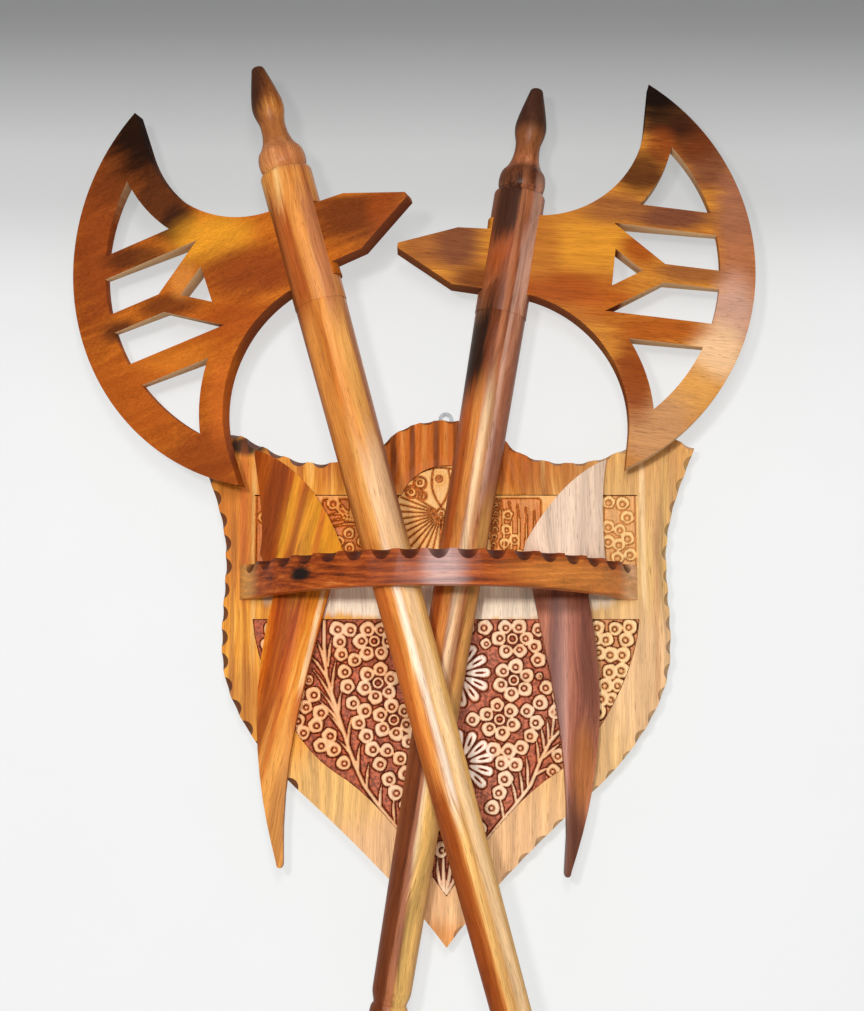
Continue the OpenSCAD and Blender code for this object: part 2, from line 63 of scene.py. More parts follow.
class Value:
    """A socket of a material, with the operators that shader maths needs."""

    def __init__(self, tree, socket):
        self.tree = tree
        self.socket = socket

    def _math(self, operation, first, second, clamp=False):
        node = self.tree.nodes.new("ShaderNodeMath")
        node.operation = operation
        node.use_clamp = clamp
        for socket, value in zip(node.inputs, (first, second)):
            if isinstance(value, Value):
                self.tree.links.new(value.socket, socket)
            else:
                socket.default_value = value
        return Value(self.tree, node.outputs[0])

    def __add__(self, other):
        return self._math("ADD", self, other)

    def __radd__(self, other):
        return self._math("ADD", other, self)

    def __sub__(self, other):
        return self._math("SUBTRACT", self, other)

    def __rsub__(self, other):
        return self._math("SUBTRACT", other, self)

    def __mul__(self, other):
        return self._math("MULTIPLY", self, other)

    def __rmul__(self, other):
        return self._math("MULTIPLY", other, self)

    def __truediv__(self, other):
        return self._math("DIVIDE", self, other)

    def __rtruediv__(self, other):
        return self._math("DIVIDE", other, self)

    def __pow__(self, other):
        return self._math("POWER", self, other)

    def __rpow__(self, other):
        return self._math("POWER", other, self)

    def clamped(self):
        return self._math("ADD", self, 0.0, clamp=True)

    def sine(self):
        return self._math("SINE", self, 0.0)

    def absolute(self):
        return self._math("ABSOLUTE", self, 0.0)


class Finish:
    """One material: its principled shader and the nodes that feed it."""

    def __init__(self, name):
        self.material = bpy.data.materials.new(name)
        self.material.use_nodes = True
        self.tree = self.material.node_tree
        self.shader = self.tree.nodes["Principled BSDF"]
        self.output = self.tree.nodes["Material Output"]

    def node(self, kind, settings=None, sockets=None, out=0):
        """A node of that type: settings first, then the values or links of its sockets."""
        node = self.tree.nodes.new("ShaderNode" + kind)
        for name, value in (settings or {}).items():
            if name == "stops":
                ramp = node.color_ramp
                while len(ramp.elements) < len(value):
                    ramp.elements.new(0.5)
                for element, (place, colour) in zip(ramp.elements, value):
                    element.position = place
                    element.color = colour
            else:
                setattr(node, name, value)
        for key, value in (sockets or {}).items():
            socket = node.inputs[key]
            if isinstance(value, Value):
                self.tree.links.new(value.socket, socket)
            else:
                socket.default_value = value
        return Value(self.tree, node.outputs[out])

    def feed(self, socket, value):
        """Sets or links an input of the principled shader."""
        if isinstance(value, Value):
            self.tree.links.new(value.socket, self.shader.inputs[socket])
        else:
            self.shader.inputs[socket].default_value = value

    def place(self):
        """Position on the piece in millimetres."""
        spot = self.node("TexCoord", out="Object")
        return self.node("VectorMath", {"operation": "SCALE"}, {0: spot, "Scale": 1 / MM})

    def vector(self, operation, first, second, out=0):
        return self.node("VectorMath", {"operation": operation}, {0: first, 1: second}, out)

    def dot(self, vector, axis):
        return self.vector("DOT_PRODUCT", vector, tuple(axis), "Value")

    def length(self, vector):
        return self.node("VectorMath", {"operation": "LENGTH"}, {0: vector}, "Value")

    def point(self, x, y, z):
        return self.node("CombineXYZ", {}, {"X": x, "Y": y, "Z": z})

    def noise(self, vector, scale, detail=2.0, roughness=0.5):
        return self.node("TexNoise", {}, {"Vector": vector, "Scale": scale, "Detail": detail,
                                          "Roughness": roughness})

    def mix(self, factor, first, second, blend="MIX"):
        return self.node("Mix", {"data_type": "RGBA", "blend_type": blend, "clamp_factor": True},
                         {0: factor, 6: first, 7: second}, out=2)

    def times(self, first, second):
        return self.mix(1.0, first, second, "MULTIPLY")

    def grey(self, value):
        return self.node("CombineColor", {}, {"Red": value, "Green": value, "Blue": value})

    def bump(self, height, strength, depth):
        return self.node("Bump", {}, {"Strength": strength, "Distance": depth, "Height": height})

    def smooth(self, value, low, high):
        """0 under low, 1 over high, with a soft step between."""
        return self.node("MapRange", {"interpolation_type": "SMOOTHSTEP"},
                         {"Value": value, "From Min": low, "From Max": high})


def linear(red, green, blue):
    """A colour as seen on a screen, 0 to 255, as linear light."""
    def one(level):
        level /= 255.0
        return level / 12.92 if level <= 0.04045 else ((level + 0.055) / 1.055) ** 2.4
    return (one(red), one(green), one(blue), 1.0)


# Tones of the wood, roughly from dark to pale; the pink one is only used for painted highlights
SOOT = linear(30, 18, 13)
CHARRED = linear(56, 30, 20)
UMBER = linear(82, 42, 22)
WALNUT = linear(106, 50, 22)
PLUM = linear(108, 60, 46)
RUST = linear(134, 60, 24)
BRICK = linear(152, 68, 22)
CHESTNUT = linear(146, 86, 46)
COPPER = linear(166, 80, 26)
CEDAR = linear(150, 94, 72)
OCHRE = linear(168, 98, 38)
SIENNA = linear(188, 94, 34)
TEAK = linear(176, 108, 70)
AMBER = linear(200, 112, 36)
ORANGE = linear(208, 130, 58)
GOLD = linear(220, 146, 40)
HONEY = linear(214, 152, 80)
WHEAT = linear(204, 168, 114)
TAN = linear(190, 138, 94)
PAINTED_PINK_HIGHLIGHT = linear(198, 152, 130)
STRAW = linear(228, 180, 106)
SUNLIT = linear(246, 196, 112)
SAND = linear(230, 184, 138)
# The pearl tone is painted glare
PAINTED_GLARE = linear(226, 196, 170)
CREAM = linear(242, 206, 156)
IVORY = linear(250, 230, 204)
# A painted highlight on the strap
PAINTED_STRAP_HIGHLIGHT = linear(198, 168, 162)
# Burnt edges, darkened further with painted shade
BURNT_AND_SHADED_EDGE = linear(94, 40, 8)
# The tops of the strap's cuts: partly burnt, partly painted shade
BURNT_AND_SHADED_TOP = linear(60, 22, 14)
# Undersides of the heads' sawn edges: a pale tone that is painted light, and a brown tone
PAINTED_LIT_CUT = linear(236, 196, 146)
BROWN_CUT = linear(112, 62, 42)


class Patch:
    """A local change of colour in the wood, some of them painted highlights and glare: an ellipsoid with a
    soft, wandering border.
    """

    def __init__(self, centre, radii, colour, strength, soft=0.5):
        self.centre, self.radii, self.colour = centre, radii, colour
        self.strength, self.soft = strength, soft


class Streak:
    """A band of another colour along the grain (some are painted highlights, a few painted shade): where it
    lies across, half width, ends and their fading.
    """

    def __init__(self, across, half, ends, colour, strength=0.8, fade=18.0, soft=0.5):
        self.across, self.half, self.ends, self.colour = across, half, ends, colour
        self.strength, self.fade, self.soft = strength, fade, soft


# Noise that draws the grain: its scale along the grain, its scale across it, its detail and roughness
DRIFT = (0.009, 0.025, 2.0, 0.5)
FIGURE = (0.005, 0.10, 4.0, 0.65)
FIBRE = (0.04, 1.3, 3.0, 0.6)
PORES = (0.11, 2.4, 1.0, 0.5)
PORE_STEP, PORE_STRENGTH = (0.62, 0.74), 0.8
# How far the grain wanders, in millimetres, and how the rings of growth follow it
WANDER = 22.0
RING_WANDER, RING_ACROSS, RING_DEEP = 1.5, 0.62, 0.35
SEED_ACROSS = 0.7
# What figure, rings and fibre add to the tone, and how much of the tone shows in a patch or streak
FIGURE_SHARE, RING_SHARE, FIBRE_SHARE = 2.0, 0.2, 0.4
SHOWN_LOW, SHOWN_SPAN = 0.66, 0.62
# How far figure and fibre shift the border of a patch, the sides of a streak and its ends
PATCH_STRAY = (0.7, 0.2)
STREAK_STRAY = (5.0, 1.2)
END_STRAY = (40.0, 26.0)
# Shade of the bare wood, of its fibre and of its pores, which take away more green and blue
BARE_SHADE, FIBRE_SHADE, PORE_SHADE = 1.03, 0.62, 0.6
PORE_GREEN, PORE_BLUE = 0.06, 0.1
# Burnt edges, darkened further with painted shade: how far a face turns from the front, and where they fade
# low down and to the right
EDGE_TURN = (0.45, 0.95)
BURN_SHADE_LOW, BURN_SHADE_RIGHT = (180.0, 290.0), (-60.0, 130.0)
BURN_SHADE_SHIFT, BURN_SHADE_FADE = 110.0, 0.85
# Sides toned by the way they face (their own tone, painted light, painted shade): how far a face looks that
# way, and the border of the stretch that has it
SIDE_TURN, SIDE_BORDER = (0.25, 0.7), (0.98, 1.02)
# Varnish
ROUGH_FIBRE, ROUGH_PORE = 0.16, 0.12
BUMP_STRENGTH, BUMP_DEPTH, FIBRE_HEIGHT = 0.2, 0.4 * MM, 0.6
COAT_ROUGHNESS = 0.36


def wood(name, axis, tones, patches=(), streaks=(), sides=(), burn_and_shade=0.0, figure=1.0, grain=1.0, coat=0.03,
         gloss=0.06, rough=0.44, seed=0.0, side=RIGHT, origin=(0, 0, 0)):
    """Varnished hardwood: figure along the axis, fine fibre, dark pores, and edges darkened partly by
    scorching, partly by painted shade.

    A side is a way that faces look, their tone, its strength and the x beyond which they have it; some side
    tones are painted light and some painted shade.
    """
    f = Finish(name)
    spot = f.place()
    along_axis = Vector(axis).normalized()
    face_axis = along_axis.cross(Vector(side)).normalized()
    side_axis = face_axis.cross(along_axis).normalized()
    from_origin = f.vector("SUBTRACT", spot, origin)
    run = f.dot(from_origin, along_axis)
    beside = f.dot(from_origin, side_axis)
    along = run + seed
    across = (beside + seed * SEED_ACROSS) * grain
    deep = f.dot(spot, face_axis)

    def grain_noise(noise, sideways):
        """Noise that is drawn out along the grain."""
        long, wide, detail, roughness = noise
        return f.noise(f.point(along * long, sideways * wide, deep * wide), 1.0, detail, roughness)

    wander = (grain_noise(DRIFT, across) - 0.5) * WANDER
    streak = grain_noise(FIGURE, across + wander) - 0.5
    fibre = grain_noise(FIBRE, across + wander) - 0.5
    pore = f.smooth(grain_noise(PORES, across), *PORE_STEP)
    ripple = ((across + wander * RING_WANDER) * RING_ACROSS + deep * RING_DEEP).sine()
    rings = (ripple * 0.5 + 0.5) ** 2.0 - 0.5
    level = streak * (FIGURE_SHARE * figure) + rings * (RING_SHARE * figure) + fibre * FIBRE_SHARE
    level = (level + 0.5).clamped()
    stops = [(i / (len(tones) - 1), linear(*tone)) for i, tone in enumerate(tones)]
    colour = f.node("ValToRGB", {"stops": stops}, {"Fac": level})
    shown = f.grey(level * SHOWN_SPAN + SHOWN_LOW)

    def stray(shifts):
        """How far figure and fibre shift a border."""
        return streak * shifts[0] + fibre * shifts[1]

    def toned(mask, tone):
        """The colour so far with another tone where the mask is."""
        return f.mix(mask, colour, f.times(tone, shown))

    border = stray(PATCH_STRAY)
    for patch in patches:
        reach = f.length(f.vector("DIVIDE", f.vector("SUBTRACT", spot, patch.centre), patch.radii))
        mask = 1.0 - f.smooth(reach + border, 1.0 - patch.soft, 1.0 + patch.soft)
        colour = toned(mask * patch.strength, patch.colour)
    strayed = beside + stray(STREAK_STRAY)
    ragged = run + stray(END_STRAY)
    for band in streaks:
        away = (strayed - band.across).absolute()
        mask = 1.0 - f.smooth(away, band.half * (1.0 - band.soft), band.half * (1.0 + band.soft))
        low, high = band.ends
        mask = mask * f.smooth(ragged, low - band.fade, low + band.fade)
        mask = mask * (1.0 - f.smooth(ragged, high - band.fade, high + band.fade))
        colour = toned(mask * band.strength, band.colour)
    dots = pore * PORE_STRENGTH
    shade = fibre * FIBRE_SHADE - dots * PORE_SHADE + BARE_SHADE
    shades = {"Red": shade, "Green": shade - dots * PORE_GREEN, "Blue": shade - dots * PORE_BLUE}
    colour = f.times(colour, f.node("CombineColor", {}, shades))
    normal = f.node("NewGeometry", out="True Normal")
    # Painted shade with scorching: faces that turn from the front (edge, gouges, walls of the panels) go
    # dark, less so low down and to the right
    if burn_and_shade:
        edge = 1.0 - f.smooth(f.dot(normal, BACK).absolute(), *EDGE_TURN)
        low_down = f.smooth(f.dot(spot, DOWN), *BURN_SHADE_LOW)
        paler = f.smooth(f.dot(spot, RIGHT) + low_down * BURN_SHADE_SHIFT, *BURN_SHADE_RIGHT)
        colour = f.mix(edge * burn_and_shade * (1.0 - paler * BURN_SHADE_FADE), colour, BURNT_AND_SHADED_EDGE)
    for way, tone, strength, beyond in sides:
        looking = f.smooth(f.dot(normal, way), *SIDE_TURN)
        if beyond:
            looking = looking * f.smooth(f.dot(spot, RIGHT) / beyond, *SIDE_BORDER)
        colour = f.mix(looking * strength, colour, tone)
    f.feed("Base Color", colour)
    f.feed("Roughness", fibre * ROUGH_FIBRE + pore * ROUGH_PORE + rough)
    height = fibre * FIBRE_HEIGHT - dots
    f.feed("Normal", f.bump(height, BUMP_STRENGTH, BUMP_DEPTH))
    f.feed("Coat Weight", coat)
    f.feed("Coat Roughness", COAT_ROUGHNESS)
    f.feed("Specular IOR Level", gloss)
    return f.material


# Carved panels: noise scales of the fibre (across, up, deep), of clouds, specks and marks in the ground
CARVED_FIBRE = (1.1, 0.09, 0.4)
CLOUD_SCALE, SPECK_SCALE, MARK_SCALE = 0.035, 1.5, 0.5
GRAIN_RISE = 0.16
# Shares of the panel's depth where the cut (dark with painted shade) ends, the ground lies, the middle tone
# is and raised wood starts
CUT_END, GROUND_LOW, GROUND_HIGH, MIDDLE_AT, RAISED_LOW = 0.12, 0.26, 0.38, 0.52, 0.72
# Marks in the ground: where they start and are full, the rise they end at, their dark and their span
MARK_STEP, MARK_RISE = (0.36, 0.64), (0.36, 0.5)
MARK_DARK, MARK_SPAN = 0.55, 0.75
# Pale petals of the daisies: distance and rise where they end and start, strength and tone
PALE_REACH, PALE_RISE, PALE_STRENGTH = (17.0, 22.0), (0.5, 0.7), 0.8
PALE_TONE = linear(254, 242, 230)
# The right end of the carving is golden: where it starts and is full, the rise it takes, strength and tones
GOLDEN_END, GOLDEN_RISE, GOLDEN_STRENGTH = (56.0, 78.0), (0.14, 0.32), 0.75
GOLDEN_STRAY = 30.0
GOLDEN_GROUND = linear(186, 116, 62)
GOLDEN_RAISED = linear(240, 196, 130)
# A warm tint grows to both sides of a middle line
WARM_MIDDLE, WARM_RATE, WARM_STEP = 15.0, 0.006, (0.5, 1.0)
UNTINTED = linear(255, 255, 255)
# Shade of the carved wood, its roughness, varnish and bump
CARVED_SHADE, CARVED_FIBRE_SHADE, CARVED_SPECK_SHADE = 0.5, 0.62, 0.38
CARVED_ROUGH, CARVED_SMOOTHER = 0.62, 0.2
CARVED_BUMP, CARVED_BUMP_DEPTH, SPECK_HEIGHT, CARVED_FIBRE_HEIGHT = 0.3, 0.5 * MM, 0.7, 0.3
CARVED_COAT, CARVED_COAT_ROUGH, CARVED_GLOSS = 0.1, 0.3, 0.15


def carved_wood(name, deep, ground, middle, raised, warm_tint, pale_flowers):
    """Wood of a carved panel: dark with painted shade in the cuts, dark also on the ground, pale on what
    stands up.
    """
    f = Finish(name)
    spot = f.place()
    depth = f.dot(spot, FRONT)
    along = f.dot(spot, UP)
    across = f.dot(spot, RIGHT)
    wide, tall, thick = CARVED_FIBRE
    fibre = f.noise(f.point(across * wide, along * tall, depth * thick), 1.0, detail=3.0)
    cloud = f.noise(spot, CLOUD_SCALE)
    speck = f.noise(spot, SPECK_SCALE)
    rise = (depth + FRONT_Y + PANEL_DEPTH) / PANEL_DEPTH
    level = (rise + (speck - 0.5) * GRAIN_RISE + (fibre - 0.5) * GRAIN_RISE).clamped()
    stops = [(0.0, deep), (CUT_END, deep), (GROUND_LOW, ground), (GROUND_HIGH, ground),
             (MIDDLE_AT, middle), (RAISED_LOW, raised), (1.0, raised)]
    colour = f.node("ValToRGB", {"stops": stops}, {"Fac": level})
    mark = f.smooth(f.noise(spot, MARK_SCALE, detail=3.0), *MARK_STEP)
    low = 1.0 - f.smooth(level, *MARK_RISE)
    colour = f.mix(low, colour, f.times(colour, f.grey(mark * MARK_SPAN + MARK_DARK)))
    for x, drop, _ in pale_flowers:
        away = f.length(f.point(across - x, along - (TOP_Z - drop), 0.0))
        petals = (1.0 - f.smooth(away, *PALE_REACH)) * f.smooth(level, *PALE_RISE)
        colour = f.mix(petals * PALE_STRENGTH, colour, PALE_TONE)
    end = f.smooth(across + (cloud - 0.5) * GOLDEN_STRAY, *GOLDEN_END)
    golden = end * f.smooth(level, *GOLDEN_RISE) * GOLDEN_STRENGTH
    colour = f.mix(golden, colour, f.mix(level, GOLDEN_GROUND, GOLDEN_RAISED))
    warm = f.smooth((across - WARM_MIDDLE).absolute() * WARM_RATE + cloud, *WARM_STEP) * (1.0 - end)
    shade = f.grey(fibre * CARVED_FIBRE_SHADE + speck * CARVED_SPECK_SHADE + CARVED_SHADE)
    tint = f.times(f.mix(warm, UNTINTED, warm_tint), shade)
    f.feed("Base Color", f.times(colour, tint))
    f.feed("Roughness", CARVED_ROUGH - level * CARVED_SMOOTHER)
    height = speck * SPECK_HEIGHT + fibre * CARVED_FIBRE_HEIGHT
    f.feed("Normal", f.bump(height, CARVED_BUMP, CARVED_BUMP_DEPTH))
    f.feed("Coat Weight", level * CARVED_COAT)
    f.feed("Coat Roughness", CARVED_COAT_ROUGH)
    f.feed("Specular IOR Level", CARVED_GLOSS)
    return f.material


# Plated steel: noise scale of its clouds, stretch of its scratches, roughness and its spread, two greys
STEEL_CLOUD, STEEL_SCRATCH = 0.4, (3.0, 3.0, 0.2)
STEEL_ROUGH, STEEL_SPREAD = 0.45, 0.2
STEEL_DARK, STEEL_PALE = linear(96, 98, 100), linear(128, 129, 130)


def plated_steel(name):
    """Zinc-plated steel, slightly dulled."""
    f = Finish(name)
    spot = f.place()
    cloud = f.noise(spot, STEEL_CLOUD, detail=3.0)
    scratch = f.noise(f.vector("MULTIPLY", spot, STEEL_SCRATCH), 1.0)
    f.feed("Base Color", f.mix(cloud, STEEL_DARK, STEEL_PALE))
    f.feed("Metallic", 1.0)
    f.feed("Roughness", (scratch - 0.5) * STEEL_SPREAD + STEEL_ROUGH)
    return f.material


# Meshes

# Distance under which corners are one; angles: faces are one flat face under it, an edge is sharp over it
WELD = 0.002 * MM
FLAT_ANGLE, SHARP_ANGLE = math.radians(0.3), math.radians(35)
# Eased edges: steps and fullness; cosine over which a face counts as square to a way
EASE_STEPS, EASE_FULLNESS = 2, 0.6
SQUARE_COSINE = 0.99995
# Millimetres within which a corner lies at a depth
DEPTH_TOLERANCE = 0.02
ROD_SIDES = 28


def new_piece(name, mesh, node=None, body=None):
    """A shown piece that rides on a body, in place of a CAD node where one is named."""
    piece = bpy.data.objects.new(name, mesh)
    bpy.context.scene.collection.objects.link(piece)
    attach(piece, body or BODY_OF[node])
    if node:
        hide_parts(node)
    return piece


def welded(node, merge=True):
    """A copy of a CAD node's mesh as one closed surface, with its flat faces merged if asked."""
    bm = bmesh.new()
    bm.from_mesh(frame["nodes"][node].data)
    bmesh.ops.remove_doubles(bm, verts=bm.verts, dist=WELD)
    if merge:
        bmesh.ops.dissolve_limit(bm, angle_limit=FLAT_ANGLE, verts=bm.verts, edges=bm.edges)
    return bm


def ease_edges(bm, width):
    """Rounds the sharp edges of a mesh."""
    sharp = [e for e in bm.edges if len(e.link_faces) == 2 and e.calc_face_angle(0) > SHARP_ANGLE]
    bmesh.ops.bevel(bm, geom=sharp, offset=width * MM, offset_type="OFFSET", segments=EASE_STEPS,
                    profile=EASE_FULLNESS, affect="EDGES", clamp_overlap=True)


def finished_mesh(bm, name, material, smooth_under=38, flat_way=None):
    """The work mesh, shaded softly under an angle but flat where it is square to flat_way."""
    bmesh.ops.recalc_face_normals(bm, faces=bm.faces)
    bmesh.ops.triangulate(bm, faces=[f for f in bm.faces if len(f.verts) > 4])
    mesh = bpy.data.meshes.new(name)
    bm.to_mesh(mesh)
    bm.free()
    mesh.materials.clear()
    mesh.materials.append(material)
    mesh.set_sharp_from_angle(angle=math.radians(smooth_under))
    for face in mesh.polygons:
        face.use_smooth = flat_way is None or abs(face.normal.dot(flat_way)) < SQUARE_COSINE
        face.material_index = 0
    return mesh


def dressed(node, material, edge, flat=False):
    """A CAD node with its edges eased and its own wood."""
    bm = welded(node)
    broad = max(bm.faces, key=lambda face: face.calc_area()).normal.copy() if flat else None
    ease_edges(bm, edge)
    return new_piece(node + "_wood", finished_mesh(bm, node + "_wood", material, flat_way=broad), node)


def edge_loops(faces):
    """Closed loops of corner points around a set of faces."""
    inside = set(faces)
    onward = {}
    for face in faces:
        for loop in face.loops:
            if sum(other in inside for other in loop.edge.link_faces) == 1:
                onward[loop.vert] = loop.link_loop_next.vert
    loops = []
    while onward:
        start, at = next(iter(onward.items()))
        ring = [start]
        del onward[start]
        while at is not start:
            ring.append(at)
            at = onward.pop(at)
        loops.append(np.array([[v.co.x / MM, v.co.z / MM] for v in ring]))
    return loops


def loops_at(node, depth_y):
    """Loops of a node's flat faces that lie at a depth, in millimetres."""
    bm = welded(node)
    flat = [f for f in bm.faces if all(abs(v.co.y / MM - depth_y) < DEPTH_TOLERANCE for v in f.verts)]
    loops = edge_loops(flat)
    bm.free()
    return loops


def signed_area(ring):
    """Area of a ring, less than zero if it runs clockwise."""
    x, z = ring.T
    return 0.5 * float(np.sum(x * np.roll(z, -1) - z * np.roll(x, -1)))


def spaced(ring, pitch):
    """Points and outward directions at an even pitch along a closed ring."""
    if signed_area(ring) < 0:
        ring = ring[::-1]
    step = np.diff(np.vstack([ring, ring[:1]]), axis=0)
    length = np.hypot(*step.T)
    run = np.concatenate([[0], np.cumsum(length)])
    count = int(round(run[-1] / pitch))
    for at in (np.arange(count) + 0.5) * run[-1] / count:
        i = min(int(np.searchsorted(run, at, side="right")) - 1, len(length) - 1)
        along = step[i] / length[i]
        yield ring[i] + along * (at - run[i]), np.array([along[1], -along[0]])


def add_rod(bm, start, end, radius):
    """Adds a closed rod between two points in millimetres."""
    a, b = start * MM, end * MM
    way = (b - a).normalized()
    u = way.orthogonal().normalized()
    v = way.cross(u)
    turns = [2 * math.pi * k / ROD_SIDES for k in range(ROD_SIDES)]
    spokes = [(u * math.cos(turn) + v * math.sin(turn)) * radius * MM for turn in turns]
    low, high = ([bm.verts.new(centre + spoke) for spoke in spokes] for centre in (a, b))
    bm.faces.new(low[::-1])
    bm.faces.new(high)
    for k in range(ROD_SIDES):
        n = (k + 1) % ROD_SIDES
        bm.faces.new((low[k], low[n], high[n], high[k]))


def cut(piece, cutter_bm, name):
    """Takes the cutter away from a piece for good."""
    mesh = bpy.data.meshes.new(name)
    cutter_bm.to_mesh(mesh)
    cutter_bm.free()
    cutter = bpy.data.objects.new(name, mesh)
    bpy.context.scene.collection.objects.link(cutter)
    modifier = piece.modifiers.new("cut", "BOOLEAN")
    modifier.object = cutter
    modifier.operation = "DIFFERENCE"
    modifier.solver = "MANIFOLD"
    evaluated = piece.evaluated_get(bpy.context.evaluated_depsgraph_get())
    result = bpy.data.meshes.new_from_object(evaluated)
    piece.modifiers.clear()
    old = piece.data
    piece.data = result
    bpy.data.meshes.remove(old)
    bpy.data.objects.remove(cutter)
    bpy.data.meshes.remove(mesh)


# Carving in relief

# Ring petals: spread of size and place, lobes, width and fullness of the wall, sag of the crown
PETAL_SIZES, PETAL_SHIFT = (0.93, 1.05), 0.3
PETAL_LOBES, LOBE_DEPTH = (3, 6), 0.05
PETAL_WALL, PETAL_FULLNESS, PETAL_SAG = 0.55, 0.8, 0.25
# The pit in a ring petal and the core in the pit: shift, radius and wall as shares of the petal's radius
PIT_SHIFT, PIT_R, PIT_WALL, PIT_DEPTH = 0.16 / 0.7, 0.52, 0.16, 2.1
CORE_R, CORE_HEIGHT = 0.30, 1.2
# Which way the pit lies: in the petals of a rosette towards the middle, in single petals right and down
ROSETTE_PIT, SINGLE_PIT = -0.7, (0.5, -0.4)
# The drilled button in the middle of a rosette
BUTTON_R, BUTTON_WALL, BUTTON_HEIGHT = 3.9, 0.8, 2.5
DRILL_R, DRILL_WALL, DRILL_DEPTH = 2.1, 0.6, 2.9
# Daisies: room they keep; a petal's middle and half length (shares of the radius), width, height, taper
DAISY_ROOM, DAISY_WINDOW = 1.02, 0.5
DAISY_MIDDLE, DAISY_HALF, DAISY_WIDTH, DAISY_HEIGHT = 0.62, 0.40, 3.9, 3.2
DAISY_ROOT, DAISY_TAPER, DAISY_NARROW = 0.72, 0.9, 0.3
# The slit in each petal, and the button with its dip
SLIT_WIDTH, SLIT_MIDDLE, SLIT_HALF, SLIT_DEPTH = 0.75, 0.06, 0.24, 2.4
EYE_R, EYE_WALL, EYE_HEIGHT, EYE_DIP, EYE_DIP_R = 4.2, 1.2, 2.8, 0.8, 1.6
# Blades: share of a half wave at the root, its span, the narrowest width and the fullness of the back
BLADE_ROOT, BLADE_SPAN, BLADE_NARROW, BLADE_FULLNESS = 0.18, 0.80, 0.3, 0.6
# Room that filling beads keep to the border of the field, to lines and to one another
BORDER_ROOM, LINE_ROOM, BEAD_ROOM = 0.4, 1.4, 0.1
# A hollow's fine ring: its place as a share of the radius, its depth and width
HOLLOW_RING, HOLLOW_RING_DEPTH, HOLLOW_RING_WIDTH = 1.75, 0.8, 0.5
# The slab: least skin, traces of the tool, how far it runs under the border, angle up to which it is smooth
SKIN, TOOL_TRACES, UNDER_BORDER = 0.1, 0.05, 0.7
SLAB_SMOOTH = math.radians(60)
# Width of the wall of a sunk field
SINK_WALL = 0.8


def wall(inward, width):
    """0 at a border and outside it, 1 from a width inside it."""
    return np.clip(inward / width, 0, 1)


def bow(start, bend, end, steps):
    """Points along a curve between two ends that is drawn towards a third point."""
    p0, p1, p2 = (np.array(p, float) for p in (start, bend, end))
    t = np.linspace(0, 1, steps + 1)[:, None]
    return (1 - t) ** 2 * p0 + 2 * (1 - t) * t * p1 + t * t * p2


